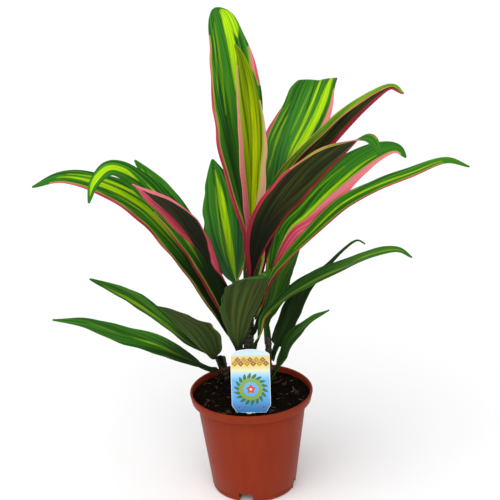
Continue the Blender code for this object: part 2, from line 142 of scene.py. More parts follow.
# The pot: a 13 cm nursery pot, injection moulded in one piece from terracotta-coloured polypropylene,
# with an overhanging rim, a thin tapered wall, and a drain hole over each of the notches in its foot.
POT_HEIGHT = 111 * MM
RIM_RADIUS = 65 * MM
RIM_FOOT_RADIUS = 63.4 * MM
RIM_HEIGHT = 9.5 * MM
BODY_TOP_RADIUS = 58 * MM
BASE_RADIUS = 44.5 * MM
BASE_ROUNDING = 2.5 * MM
LIP_RADIUS = 1.3 * MM
RIM_FILLET = 0.6 * MM
WALL = 1.4 * MM
POT_SIDES = 192
# Rings round the body: how far up from the foot, or down from the rim's underside, and how far
# inside the straight taper, in mm. They give the grooves near the foot and under the rim.
FOOT_RINGS = ((4.6, 0), (5.3, 0.54), (6.6, 0), (40, 0), (80, 0))
COLLAR_RINGS = ((4, 0), (1.6, 0.687), (0, 0.6))
NOTCH_COUNT = 4
FIRST_NOTCH_ANGLE = math.radians(-102.5)
NOTCH_SIZE = Vector((26, 15, 10.5)) * MM
DRAIN_RADIUS = 3.5 * MM
DRAIN_INSET = 8 * MM
DRAIN_SIDES = 32
SHARPEST_SMOOTHED = math.radians(35)


def wall_radius(height):
    """The pot's outer radius at a height on its tapered body."""
    return BASE_RADIUS + (BODY_TOP_RADIUS - BASE_RADIUS) * height / (POT_HEIGHT - RIM_HEIGHT)


def rounding(radius, height, size, start, end, steps):
    """Rings (radius, height) round a rounded edge, its angles in degrees."""
    angles = [math.radians(start + (end - start) * step / steps) for step in range(steps + 1)]
    return [(radius + size * math.cos(a), height + size * math.sin(a)) for a in angles]


def round_piece(name, sides, foot, rings):
    """A short cylinder from its foot to the first ring (radius, height), drawn up through the others.

    Each further ring is an extrusion of the top face and then a resize.
    """
    radius, height = rings[0]
    bpy.ops.object.select_all(action="DESELECT")
    bpy.ops.mesh.primitive_cylinder_add(
        vertices=sides, radius=radius, depth=height - foot, location=(0, 0, (height + foot) / 2))
    piece = bpy.context.object
    piece.name = name
    piece.data.transform(piece.matrix_world)
    piece.matrix_world = Matrix.Identity(4)
    for item in (*piece.data.vertices, *piece.data.edges):
        item.select = False
    for face in piece.data.polygons:
        face.select = face.normal.z > 0.5
    bpy.ops.object.mode_set(mode="EDIT")
    bpy.ops.mesh.select_mode(type="FACE")
    for wider, higher in rings[1:]:
        bpy.ops.mesh.extrude_region_move(TRANSFORM_OT_translate={"value": (0, 0, higher - height)})
        scale = wider / radius
        bpy.ops.transform.resize(value=(scale, scale, 1), center_override=(0, 0, higher))
        radius, height = wider, higher
    bpy.ops.object.mode_set(mode="OBJECT")
    return piece


def block(low, high, angle):
    """A box between two corners, turned about the pot's axis."""
    size, middle = Vector(high) - Vector(low), (Vector(high) + Vector(low)) / 2
    turn = Matrix.Rotation(angle, 4, "Z")
    bpy.ops.mesh.primitive_cube_add(size=1)
    made = bpy.context.object
    made.data.transform(turn @ Matrix.Translation(middle) @ Matrix.Diagonal((*size, 1)))
    return made


def carve(piece, tool, operation):
    """Joins a tool to a piece, or cuts it out of it, and takes the tool away."""
    modifier = piece.modifiers.new("carve", "BOOLEAN")
    modifier.operation = operation
    modifier.object = tool
    bpy.context.view_layer.objects.active = piece
    bpy.ops.object.modifier_apply(modifier=modifier.name)
    bpy.data.objects.remove(tool)


collar = POT_HEIGHT - RIM_HEIGHT
shelf = collar + WALL
# From the base up the outside, round the rim and its lip
rings = rounding(BASE_RADIUS - BASE_ROUNDING, BASE_ROUNDING, BASE_ROUNDING, -90, 0, 5)
heights = [(up * MM, inset * MM) for up, inset in FOOT_RINGS]
heights += [(collar - down * MM, inset * MM) for down, inset in COLLAR_RINGS]
rings += [(wall_radius(height) - inset, height) for height, inset in heights]
rings += rounding(RIM_FOOT_RADIUS - RIM_FILLET, collar + RIM_FILLET, RIM_FILLET, -90, 0, 3)
rings += rounding(RIM_RADIUS - LIP_RADIUS, POT_HEIGHT - LIP_RADIUS, LIP_RADIUS, 0, 180, 8)
# Down the inside, over the shelf inside the rim, to the pot's floor
rings += [(RIM_FOOT_RADIUS - WALL, shelf), (wall_radius(shelf) - WALL, shelf)]
rings += [(wall_radius(WALL * 2) - WALL, WALL * 2), (wall_radius(WALL) - 2 * WALL, WALL)]
spare_foot = -0.4 * MM
pot = round_piece("pot_moulded", POT_SIDES, spare_foot, rings)
# The cylinder's own short side goes, so that the pot stands on the first ring
shape = bmesh.new()
shape.from_mesh(pot.data)
bmesh.ops.delete(shape, geom=[v for v in shape.verts if v.co.z < spare_foot / 2], context="VERTS")
bmesh.ops.holes_fill(shape, edges=shape.edges, sides=0)
bmesh.ops.recalc_face_normals(shape, faces=shape.faces)
shape.to_mesh(pot.data)
shape.free()
inner, half, top = BASE_RADIUS - NOTCH_SIZE.x, NOTCH_SIZE.y / 2, NOTCH_SIZE.z
for index in range(NOTCH_COUNT):
    angle = FIRST_NOTCH_ANGLE + index * 2 * math.pi / NOTCH_COUNT
    carve(pot, block((inner - WALL, -half - WALL, WALL / 2),
                     (BASE_RADIUS - WALL / 2, half + WALL, top + WALL), angle), "UNION")
    carve(pot, block((inner, -half, -1 * MM), (BASE_RADIUS + 5 * MM, half, top), angle), "DIFFERENCE")
    bpy.ops.mesh.primitive_cylinder_add(
        vertices=DRAIN_SIDES, radius=DRAIN_RADIUS, depth=6 * MM,
        location=Matrix.Rotation(angle, 3, "Z") @ Vector((inner + DRAIN_INSET, 0, top)))
    carve(pot, bpy.context.object, "DIFFERENCE")
bpy.ops.object.select_all(action="DESELECT")
pot.select_set(True)
bpy.ops.object.shade_smooth_by_angle(angle=SHARPEST_SMOOTHED)

# Polypropylene from a polished mould: a satin skin, a little paler in broad patches, with faint
# flow marks down the wall about 9 mm apart and specks of dust of a millimetre or so.
pot_plastic, shader = new_material("satin terracotta polypropylene", Roughness=0.42, Specular_IOR_Level=0.1)
place = add(pot_plastic, "TexCoord").outputs["Object"]
tall = add(pot_plastic, "Mapping", {"Vector": place, "Scale": (1, 1, 0.12)})
flow = add(pot_plastic, "TexNoise", {"Vector": tall, "Scale": 1 / (9 * MM), "Detail": 3.0})
dust = add(pot_plastic, "TexNoise", {"Vector": place, "Scale": 1 / (1.4 * MM), "Detail": 4.0})
cloud = add(pot_plastic, "TexNoise", {"Vector": place, "Scale": 1 / (38 * MM), "Detail": 2.0})
body = add(pot_plastic, "MixRGB", {"Fac": cloud, "Color1": "#802810", "Color2": "#8c3012"})
marks = add(pot_plastic, "MapRange", {"Value": flow, "From Min": 0.35, "From Max": 0.75, "To Max": 0.3})
specks = add(pot_plastic, "MapRange", {"Value": dust, "From Min": 0.6, "From Max": 0.8, "To Max": 0.25})
for amount, colour in ((marks, "#6c2010"), (specks, "#a85c40")):
    body = add(pot_plastic, "MixRGB", {"Fac": amount, "Color1": body, "Color2": colour})
relief = add(pot_plastic, "Bump", {"Strength": 0.25, "Distance": 0.15 * MM, "Height": flow})
plug(pot_plastic, shader, {"Base Color": body, "Normal": relief})
pot.data.materials.append(pot_plastic)
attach(pot, "root")
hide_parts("pot")


# The soil: moist peat compost pressed down by hand, dark and crumbly, with bark chips, lumps
# and some pale roots that come to its surface. It is poured in round the canes and the label.
SOIL_TOP = 104.6 * MM
SOIL_MOUND = 0.6 * MM
SOIL_ROUGHNESS = 1.6 * MM
SOIL_CELLS = 150
SOIL_GAP = 0.3 * MM  # between the soil and the pot's wall
SOIL_EDGE = RIM_FOOT_RADIUS - WALL - SOIL_GAP
SOIL_FLOOR = NOTCH_SIZE.z + 2.1 * MM
CRUMB_COUNT = 900
CHIP_COUNT = 70
ROOT_COUNT = 26
ROOT_SIDES = 5
ROOT_STEP = 2 * MM
ROOT_RADIUS = 0.28 * MM
LONG_ROOT_START = (43 * MM, 18 * MM)
FULL_TURN = 6.3  # radians, a little over a whole turn
CRUMB_SHAPES = 4
PEAT, BARK, ROOTS = range(3)  # the soil's material slots
CRUMB_SIZES = (0.8, 2.2)  # mm, which scatter turns into radii that are mostly small
CRUMB_SHARES = (0.6, 1.0)  # depth and height as shares of the width
CHIP_SIZES = (2.0, 4.4)
CHIP_SHARES = (0.25, 0.6)
soil_seed = random.Random(7)


def soil_height(x, y):
    """The lumpy top of the soil, as in the part, with finer crumbs over it."""
    place = Vector((x, y, 0))
    radius = min(place.length / RIM_FOOT_RADIUS, 1)
    lumps = noise.noise(place / (11 * MM)) + 0.6 * noise.noise(place / (5 * MM))
    crumbs = 0.35 * noise.noise(place / (2.4 * MM)) + 0.25 * noise.noise(place / (1.1 * MM))
    level = SOIL_TOP + SOIL_MOUND * (1 - radius ** 2)
    return level + SOIL_ROUGHNESS * (lumps * (1 - radius ** 6) + crumbs)


def random_spot(margin):
    """A random place on the soil, at least a margin inside its edge."""
    angle = soil_seed.uniform(0, 2 * math.pi)
    radius = (SOIL_EDGE - margin) * math.sqrt(soil_seed.random())
    return radius * math.cos(angle), radius * math.sin(angle)


bpy.ops.object.select_all(action="DESELECT")
bpy.ops.mesh.primitive_grid_add(x_subdivisions=SOIL_CELLS, y_subdivisions=SOIL_CELLS, size=2)
soil = bpy.context.object
soil.name = "soil_peat"
for vertex in soil.data.vertices:
    # A square grid is pressed out to a disc, ring by ring
    x, y = vertex.co.x, vertex.co.y
    reach = max(abs(x), abs(y))
    length = math.hypot(x, y) or 1
    x, y = (x / length * reach * SOIL_EDGE, y / length * reach * SOIL_EDGE)
    vertex.co = (x, y, soil_height(x, y))
# Its rim goes down to the pot's shelf, in over it, down the wall and across the floor
bpy.ops.object.mode_set(mode="EDIT")
bpy.ops.mesh.select_mode(type="EDGE")
bpy.ops.mesh.select_all(action="DESELECT")
bpy.ops.mesh.select_non_manifold()
walls = [(SOIL_EDGE, shelf + SOIL_GAP), (wall_radius(shelf) - WALL - SOIL_GAP, shelf + SOIL_GAP),
         (wall_radius(SOIL_FLOOR) - WALL - SOIL_GAP, SOIL_FLOOR)]
reach = SOIL_EDGE
for radius, height in walls:
    bpy.ops.mesh.extrude_edges_move()
    scale = radius / reach
    bpy.ops.transform.resize(value=(scale, scale, 0), center_override=(0, 0, height))
    reach = radius
bpy.ops.mesh.edge_face_add()
bpy.ops.object.mode_set(mode="OBJECT")
soil.data.shade_smooth()


def lump(seed):
    """One crumb to be copied: a ball pushed in and out at random."""
    bpy.ops.mesh.primitive_ico_sphere_add(subdivisions=2, radius=1)
    made = bpy.context.object
    made.name = f"crumb_{seed}"
    for vertex in made.data.vertices:
        vertex.co *= 1 + 0.7 * noise.noise(vertex.co * 1.3 + Vector((seed * 7.3, 0, 0)))
    return made


def scatter(shape, models, spots, sizes, shares, slot):
    """Lays turned and resized copies of the models on the soil, half sunk in."""
    for x, y in spots:
        size = soil_seed.uniform(*sizes) ** 2 / sizes[1] * MM
        spread = Vector((1, soil_seed.uniform(*shares), soil_seed.uniform(*shares))) * size
        turn = Matrix.Rotation(soil_seed.uniform(0, FULL_TURN), 4, "Z")
        turn = turn @ Matrix.Rotation(soil_seed.uniform(-0.5, 0.5), 4, "X")
        lift = Vector((x, y, soil_height(x, y) + 0.2 * size))
        copy = soil_seed.choice(models).data.copy()
        copy.transform(Matrix.Translation(lift) @ turn @ Matrix.Diagonal((*spread, 1)))
        first = len(shape.faces)
        shape.from_mesh(copy)
        shape.faces.ensure_lookup_table()
        for face in shape.faces[first:]:
            face.material_index = slot
            face.smooth = slot != BARK
        bpy.data.meshes.remove(copy)


def root(shape, start, heading, length, radius, bend):
    """One thin root lying on the soil: a five-sided tube that bends by so many radians per metre."""
    steps = max(int(length / ROOT_STEP), 4)
    spot, rings = Vector((*start, 0)), []
    for step in range(steps + 1):
        # Its ends are sunk in the soil, and its middle lies on it
        arch = math.sin(math.pi * step / steps)
        height = soil_height(spot.x, spot.y) + (1.3 * arch - 0.9) * radius * 2
        taper = radius * (1 - 0.6 * step / steps)
        across = Vector((-math.sin(heading), math.cos(heading), 0))
        middle = Vector((spot.x, spot.y, height))
        ring = []
        for corner in range(ROOT_SIDES):
            angle = 2 * math.pi * corner / ROOT_SIDES
            lift = Vector((0, 0, taper * math.sin(angle)))
            ring.append(shape.verts.new(middle + across * taper * math.cos(angle) + lift))
        rings.append(ring)
        heading += bend * ROOT_STEP + soil_seed.uniform(-0.16, 0.16)
        spot += Vector((math.cos(heading), math.sin(heading), 0)) * length / steps
        if spot.length > SOIL_EDGE - ROOT_STEP:
            break
    faces = []
    for before, after in zip(rings, rings[1:]):
        for corner in range(ROOT_SIDES):
            following = (corner + 1) % ROOT_SIDES
            faces.append((before[corner], before[following], after[following], after[corner]))
    for corners in (*faces, rings[0][::-1], rings[-1]):
        shape.faces.new(corners).material_index = ROOTS


crumbs = [lump(seed) for seed in range(CRUMB_SHAPES)]
shape = bmesh.new()
shape.from_mesh(soil.data)
scatter(shape, crumbs, [random_spot(2 * MM) for _ in range(CRUMB_COUNT)], CRUMB_SIZES, CRUMB_SHARES, PEAT)
scatter(shape, crumbs, [random_spot(4 * MM) for _ in range(CHIP_COUNT)], CHIP_SIZES, CHIP_SHARES, BARK)
for _ in range(ROOT_COUNT):
    root(shape, random_spot(9 * MM), soil_seed.uniform(0, FULL_TURN), soil_seed.uniform(6, 20) * MM,
         ROOT_RADIUS, soil_seed.uniform(-60, 60))
root(shape, LONG_ROOT_START, math.radians(-60), length=34 * MM, radius=0.5 * MM, bend=-42)
bmesh.ops.recalc_face_normals(shape, faces=shape.faces)
shape.to_mesh(soil.data)
shape.free()
for crumb in crumbs:
    bpy.data.objects.remove(crumb)


def colour_ramp(node, stops):
    """Gives a ramp its colours, each (position, hex colour)."""
    elements = node.color_ramp.elements
    while len(elements) < len(stops):
        elements.new(0.5)
    for element, (position, code) in zip(elements, stops):
        element.position = position
        element.color = linear(code)


def mottled(name, size, detail, first, second, **sockets):
    """A material that wavers between two colours, in patches of a real size."""
    made, shader = new_material(name, **sockets)
    place = add(made, "TexCoord").outputs["Object"]
    patches = add(made, "TexNoise", {"Vector": place, "Scale": 1 / size, "Detail": detail})
    tint = add(made, "MixRGB", {"Fac": patches, "Color1": first, "Color2": second})
    plug(made, shader, {"Base Color": tint})
    return made


# Peat is matt and nearly black where it is moist, with brown grains of about a millimetre.
peat, shader = new_material("moist dark peat", Roughness=0.9, Specular_IOR_Level=0.04)
place = add(peat, "TexCoord").outputs["Object"]
grains = add(peat, "TexNoise", {"Vector": place, "Scale": 1 / (1.1 * MM), "Detail": 5.0, "Roughness": 0.7})
patches = add(peat, "TexNoise", {"Vector": place, "Scale": 1 / (7 * MM), "Detail": 3.0})
ramp = add(peat, "ValToRGB", {"Fac": grains})
colour_ramp(ramp, ((0.38, "#050403"), (0.75, "#2a1e13")))
dark = add(peat, "MixRGB", {"Fac": 0.7, "Color1": ramp, "Color2": patches}, blend_type="MULTIPLY")
relief = add(peat, "Bump", {"Strength": 0.9, "Distance": 0.5 * MM, "Height": grains})
plug(peat, shader, {"Base Color": dark, "Normal": relief})

# Bark chips are dull brown and fibrous, their grain about a millimetre apart. Roots are pale tan
# threads, dirty with peat in places.
bark = mottled("shredded bark", 0.9 * MM, 3.0, "#120c08", "#4c3424", Roughness=0.8, Specular_IOR_Level=0.1)
fibre = mottled("dry pale root", 3 * MM, 3.0, "#3b2a1c", "#a58a5c", Roughness=0.7)
for finish in (peat, bark, fibre):
    soil.data.materials.append(finish)
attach(soil, "root")
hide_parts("soil")


# The plant label: a die-cut card of glossy white plastic, printed on its front and pushed into the
# soil on its own stake. Its print is a made-up one: a band of lozenges over a leafy wreath.
LABEL_WIDTH = 40 * MM
LABEL_HEIGHT = 68.5 * MM
LABEL_THICKNESS = 0.7 * MM
LABEL_SHOULDER = 6.5 * MM
LABEL_CHAMFER = 5 * MM
CHAMFER_SLOPE = 1.6  # how much taller than wide a lower corner is cut off
LABEL_BORDER = 0.5 * MM
LABEL_EDGE_ROUNDING = 0.15 * MM
ARCH_STEPS = 24
STAKE_WIDTH = 11 * MM
STAKE_LENGTH = 34 * MM
STAKE_POINT = 6 * MM
LABEL_FOOT = Vector((-0.4, -45, 106)) * MM
LABEL_LEAN = math.radians(5)
LABEL_TURN = math.radians(-3)
INK_LIFT = 0.03 * MM  # from one layer of print to the next, enough to keep them apart
INK_THICKNESS = 0.9  # as a share of the lift
DISC_CORNERS = 20
LEAFLET_STEPS = 9


def label_outline(inset):
    """Points (x, z) round the card, clockwise from its lower left corner, moved inwards."""
    half, foot = LABEL_WIDTH / 2 - inset, inset
    shoulder, chamfer = LABEL_HEIGHT - LABEL_SHOULDER - inset, LABEL_CHAMFER - inset * 0.4
    points = [(chamfer - half, foot), (-half, foot + chamfer * CHAMFER_SLOPE)]
    for step in range(ARCH_STEPS + 1):
        angle = math.pi * (1 - step / ARCH_STEPS)
        points.append((half * math.cos(angle), shoulder + LABEL_SHOULDER * math.sin(angle)))
    return points + [(half, foot + chamfer * CHAMFER_SLOPE), (half - chamfer, foot)]


def sheet(name, points, front, depth):
    """A flat shape in the label's plane from (x, z) points, thickened backwards."""
    mesh = bpy.data.meshes.new(name)
    mesh.from_pydata([(x, -front, z) for x, z in points], [], [range(len(points))])
    made = bpy.data.objects.new(name, mesh)
    bpy.context.collection.objects.link(made)
    bpy.ops.object.select_all(action="DESELECT")
    made.select_set(True)
    bpy.context.view_layer.objects.active = made
    bpy.ops.object.mode_set(mode="EDIT")
    bpy.ops.mesh.select_all(action="SELECT")
    bpy.ops.mesh.extrude_region_move(TRANSFORM_OT_translate={"value": (0, depth, 0)})
    bpy.ops.mesh.select_all(action="SELECT")
    bpy.ops.mesh.normals_make_consistent(inside=False)
    bpy.ops.object.mode_set(mode="OBJECT")
    return made


stake = STAKE_WIDTH / 2
taper = STAKE_POINT - STAKE_LENGTH
card_outline = label_outline(0)
card_outline += [(stake, 0), (stake, taper), (0, -STAKE_LENGTH), (-stake, taper), (-stake, 0)]
card = sheet("plant_label_card", card_outline, LABEL_THICKNESS / 2, LABEL_THICKNESS)
modifier = card.modifiers.new("rounded edge", "BEVEL")
modifier.width = LABEL_EDGE_ROUNDING
modifier.segments = 2
modifier.limit_method = "ANGLE"
bpy.ops.object.modifier_apply(modifier=modifier.name)
# White plastic sheet, calendered smooth: glossy, with a faint haze in clouds about 6 mm across
card.data.materials.append(mottled(
    "glossy white label plastic", 6 * MM, 2.0, "#e6e8e4", "#f6f7f4", Roughness=0.25))

# The print's ground goes from clear blue at the foot through cream and yellow to a pale arch
ground_ink, shader = new_material("printed ground", Roughness=0.28)
place = add(ground_ink, "UVMap", uv_map="print").outputs["UV"]
height = add(ground_ink, "SeparateXYZ", {"Vector": place}).outputs["Y"]
ramp = add(ground_ink, "ValToRGB", {"Fac": height})
colour_ramp(ramp, ((0.0, "#4690d2"), (0.25, "#58a8ea"), (0.52, "#68b2f0"), (0.62, "#b0d6ec"),
                   (0.67, "#e0e0b4"), (0.73, "#e2cc76"), (0.88, "#dcc674"), (0.92, "#c6dcf2"),
                   (1.0, "#bcd8f2")))
plug(ground_ink, shader, {"Base Color": ramp})
prints = []


def printed(name, points, layer, ink):
    """Prints one shape of a single ink, a hair thick, on the card's front, from points in mm."""
    points = [(x * MM, z * MM) for x, z in points]
    lift = INK_LIFT * layer
    made = sheet(name, points, LABEL_THICKNESS / 2 + lift, lift * INK_THICKNESS)
    made.data.materials.append(ink)
    prints.append(made)


def disc(x, z, radius, count=DISC_CORNERS):
    """Points round a disc, or round a lozenge when there are four."""
    turns = [2 * math.pi * step / count for step in range(count)]
    return [(x - radius * math.cos(turn), z + radius * math.sin(turn)) for turn in turns]


def leaflet(x, z, angle, length, width):
    """A pointed oval leaf from its foot at (x, z), turned from upright."""
    points = []
    for side in (-1, 1):
        for step in range(LEAFLET_STEPS):
            share = step / LEAFLET_STEPS if side < 0 else 1 - step / LEAFLET_STEPS
            out = side * width / 2 * math.sin(math.pi * share) ** 0.8
            along = length * share
            points.append((x + along * math.sin(angle) + out * math.cos(angle),
                           z + along * math.cos(angle) - out * math.sin(angle)))
    return points


def ink(name, code):
    """Glossy offset ink: flat colour with the faint mottle of print, about a third of a millimetre."""
    light = [min(channel * 1.25, 1) for channel in linear(code)]
    return mottled(name + " ink", 0.35 * MM, 1.0, code, light, Roughness=0.28)


printed("print_ground", [(x / MM, z / MM) for x, z in label_outline(LABEL_BORDER)], 1, ground_ink)
ground = prints[0].data
layer = ground.uv_layers.new(name="print")
for loop in ground.loops:
    spot = ground.vertices[loop.vertex_index].co
    layer.data[loop.index].uv = (spot.x / LABEL_WIDTH + 0.5, spot.z / LABEL_HEIGHT)

# Over it lie two rows of lozenges, and a wreath of leaflets round a five-petalled blossom. All
# places and sizes are in millimetres from the middle of the card's foot.
ochre, straw, umber = ink("ochre", "#a8842a"), ink("straw", "#d2b24a"), ink("umber", "#8a5a34")
leaf_green, lime_green = ink("leaf green", "#3a6a2c"), ink("lime", "#7c9a34")
brick, cream = ink("brick red", "#c4472c"), ink("cream", "#efe3b0")
LOZENGE_ROWS = ((6, 53.2, 3.3), (5, 57.2, 3.1))  # how many, how high, and their radius
LOZENGE_SPACING = 6.4
LOZENGE_DOT = 0.9
WREATH_MIDDLE = 25.5
WREATH_LEAVES = 18
WREATH_RINGS = ((9.5, 0.7, 9.5, leaf_green), (8.0, -0.9, 6.5, lime_green))  # radius, swing, length, ink
WREATH_LEAF_WIDTH = 3.4
RING_SHIFT = 0.17  # radians between the two rings
PETALS = 5
PETAL_SIZE = (5.2, 3.6)
EYE_RADIUS = 1.3
BERRY_HEIGHT = 6.2
BERRIES = ((-12.5, 1.3), (-7.5, 0.9), (7.5, 0.9), (12.5, 1.3))  # place and radius
for row, (count, height, size) in enumerate(LOZENGE_ROWS):
    for index in range(count):
        x = LOZENGE_SPACING * (index - (count - 1) / 2)
        tint = (ochre, umber)[(index + row) % 2]
        printed(f"print_lozenge_{row}_{index}", disc(x, height, size, 4), 2 + row, tint)
        printed(f"print_dot_{row}_{index}", disc(x, height, LOZENGE_DOT, 4), 4, straw)
for index in range(WREATH_LEAVES):
    turn = 2 * math.pi * index / WREATH_LEAVES
    for ring, (radius, swing, length, tint) in enumerate(WREATH_RINGS):
        place = turn + ring * RING_SHIFT
        x, z = radius * math.sin(place), WREATH_MIDDLE + radius * math.cos(place)
        leaf_shape = leaflet(x, z, turn + swing, length, WREATH_LEAF_WIDTH)
        printed(f"print_leaf_{ring}_{index}", leaf_shape, 2 + (index + ring) % 2 + ring * 2, tint)
for index in range(PETALS):
    petal = leaflet(0, WREATH_MIDDLE, 2 * math.pi * index / PETALS, *PETAL_SIZE)
    printed(f"print_petal_{index}", petal, 3, brick)
printed("print_eye", disc(0, WREATH_MIDDLE, EYE_RADIUS), 4, cream)
for index, (x, radius) in enumerate(BERRIES):
    printed(f"print_berry_{index}", disc(x, BERRY_HEIGHT, radius), 2, brick)
bpy.ops.object.select_all(action="DESELECT")
for made in (*prints, card):
    made.select_set(True)
bpy.context.view_layer.objects.active = card
bpy.ops.object.join()
leaning = Matrix.Rotation(LABEL_TURN, 4, "Z") @ Matrix.Rotation(-LABEL_LEAN, 4, "X")
card.data.transform(Matrix.Translation(LABEL_FOOT) @ leaning)
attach(card, "root")
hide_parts("plant_label")


# The canes: three upright woody stems, green-brown, with a ring at each old leaf scar. They grow
# from the root ball, and the leaves clasp them one above another.
@dataclass
class Cane:
    """One stem in millimetres: where it leaves the soil, where it ends, and its radius."""

    foot: tuple
    top: tuple
    radius: float

    def axis_at(self, height):
        """The middle of the stem at a height."""
        foot, top = Vector(self.foot), Vector(self.top)
        return foot.lerp(top, (height - foot.z) / (top.z - foot.z))


CANE_SUNK = 14  # mm of the stem modelled under the soil
SCAR_SPACING = 5.5
FIRST_SCAR = 4  # mm above the soil
LAST_SCAR = 5  # mm below the top, at least
SHORTEST_RING = 0.2  # mm, how far up the stem's first ring lies
# Rings of one leaf scar: how far above its middle, and how far out from the stem, in mm
SCAR_RINGS = ((-0.9, 0), (-0.25, 0.35), (0.3, 0.2), (0.8, -0.3))
# Rings of the blunt top: how far below the end in mm, and the share of the stem's radius
TOP_RINGS = ((3, 1), (1, 0.85), (0, 0.4))
CANE_SIDES = 48
CANES = {
    "cane_middle": Cane(foot=(-3, 9, 104), top=(2, 9, 242), radius=5.5),
    "cane_left": Cane(foot=(-27, 38, 104), top=(-30, 35, 134), radius=3.5),
    "cane_right": Cane(foot=(19, 20, 104), top=(20, 19, 162), radius=3.5),
}

# Bark of young cane: greenish brown, satin, with fine lengthwise cracks about 0.8 mm apart
cane_bark, shader = new_material("green-brown cane bark", Roughness=0.55)
place = add(cane_bark, "TexCoord").outputs["Object"]
long_way = add(cane_bark, "Mapping", {"Vector": place, "Scale": (1, 1, 0.15)})
cracks = add(cane_bark, "TexNoise", {"Vector": long_way, "Scale": 1 / (0.8 * MM), "Detail": 4.0})
patches = add(cane_bark, "TexNoise", {"Vector": place, "Scale": 1 / (6 * MM), "Detail": 2.0})
tint = add(cane_bark, "MixRGB", {"Fac": patches, "Color1": "#1e1a10", "Color2": "#403820"})
tint = add(cane_bark, "MixRGB", {"Fac": 0.6, "Color1": tint, "Color2": cracks}, blend_type="MULTIPLY")
relief = add(cane_bark, "Bump", {"Strength": 0.6, "Distance": 0.3 * MM, "Height": cracks})
plug(cane_bark, shader, {"Base Color": tint, "Normal": relief})

for name, cane in CANES.items():
    foot, top = cane.axis_at(cane.foot[2] - CANE_SUNK), Vector(cane.top)
    length = (top - foot).length
    rings = [(cane.radius, SHORTEST_RING), (cane.radius, CANE_SUNK)]
    height = CANE_SUNK + FIRST_SCAR
    while height < length - LAST_SCAR:
        swell = cane.radius * (1 + 0.03 * noise.noise((height, 0, 0)))
        rings += [(swell + out, height + up) for up, out in SCAR_RINGS]
        height += SCAR_SPACING * (1 + 0.3 * noise.noise((0, height, 3)))
    rings += [(cane.radius * share, length - down) for down, share in TOP_RINGS]
    rings = [(radius * MM, height * MM) for radius, height in rings]
    stem = round_piece(name + "_bark", CANE_SIDES, 0, rings)
    turn = (top - foot).to_track_quat("Z", "Y").to_matrix().to_4x4()
    stem.data.transform(Matrix.Translation(foot * MM) @ turn)
    stem.data.shade_smooth()
    stem.data.materials.append(cane_bark)
    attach(stem, "root")
    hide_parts(name)


# The leaves: long waxy blades on channelled stalks that clasp the cane. Crown leaves are striped green
# and lime above with a pink edge, and dark olive below; older and shoot leaves have hardly any pink.
CELLS_ALONG = 130
CELLS_ACROSS = 36
CURVE_POINTS = 17  # on each stretch of a midrib
THICKEST = 2.0 * MM
BLADE_THICKNESS = 0.5 * MM
STALK_THICKNESS = 1.5 * MM
STALK_HALF_WIDTH = 4.6 * MM  # on a blade as broad as the next value, less on narrower ones
BROAD_BLADE = 50 * MM
LEAST_STALK = 0.45  # the share of that stalk that even the narrowest blade would have
OPEN_AT, THIN_AT = 1.8, 2  # stalk lengths from the cane where a blade is fully open, and thin
WIDENING = 0.85  # how a blade widens from its stalk, as Leaf.point does towards the tip
TIP_HALF_WIDTH = 0.9 * MM
RIB_HALF_WIDTH = 1.5 * MM
RIB_SHARE = 0.45  # how much thickness the midrib adds, as a share of THICKEST
STALK_FOLD = math.radians(52)
SHEATH_FOLD = math.radians(12)
MARGIN_CURL = math.radians(-8)
SHEATH_RISE = 12  # mm, as are the next two
SHEATH_SPREAD = 4.5
CANE_GAP = 0.45
RIPPLE = 1.2 * MM
RIPPLES = 2.5  # waves along a margin
RIPPLE_SHIFT = 1.9  # radians, so that the two margins don't rise together
EDGE_WANDER = 0.12  # how far a margin strays, as a share of the half width
NO_BAND = -9  # far outside a coloured band, in mm
LEAST_BAND = 0.6  # mm, a narrower band is left out
PINK_FROM = 0.22  # where along the leaf the pink edge has its full width
PINK_HELD_BACK = 6  # mm less of it at the cane
BLOOM_AND_SHEEN_FADE = 1.3  # how fast the bloom fades: it is gone at 1 / 1.3 of the leaf
BLUSH_CHANGE = 0.45  # how fast the bloom and painted sheen fade: gone at 1 / 1.3 of the leaf
VEIN_SLANT = 0.10  # how far a vein drifts outwards for each millimetre along
SEED_STEP = 3.7  # sets the leaves apart, so that no two have the same streaks


@dataclass
class Leaf:
    """One leaf, in millimetres, from the cane to its tip.

    way: points that the midrib passes after it leaves the cane, the last one being the tip.
    faces: the way the upper face looks, evenly spaced from the stalk to the tip.
    fold: how many degrees each half of the blade is folded up.
    stalk, broadest: where the stalk ends, and where on the blade it is broadest, from 0 to 1.
    point: how the blade runs out to its tip, from blunt below 1 to drawn out above it.
    stripes: lime stripes, each (from, side, to, side, mm), from 0 to 1 along and -1 to 1 across.
    left_pink, right_pink: the pink edge's width at even steps to the tip, on the sides -1 and 1.
    turned: the width on the side 1 that is coloured as if turned over, with the upper green below.
    blush: how red those two edges are, from 0, cream, through pink to 1, crimson.
    """

    cane: str
    height: float
    way: tuple
    width: float
    faces: tuple
    fold: float = 14
    stalk: float = 0.18
    broadest: float = 0.5
    point: float = 0.85
    stripes: tuple = ()
    left_pink: tuple = ()
    right_pink: tuple = ()
    blush: tuple = (0.6, 0.6)
    turned: tuple = ()
    lime: float = 0.35  # how much of the green is streaked with lime at random
    age: float = 0.0  # 0 in the crown, 1 on old and shoot leaves, which are plainer
    bloom_and_sheen: float = 0.0  # the blue-white bloom towards the stalk, partly a painted sheen
    dark_to: float = 0.2  # where the stalk's dark green and painted crown shade fade out
    dark: float = 0.85  # how much of it there is
    golden: float = 0.0  # 1 for a young leaf that is still yellowish


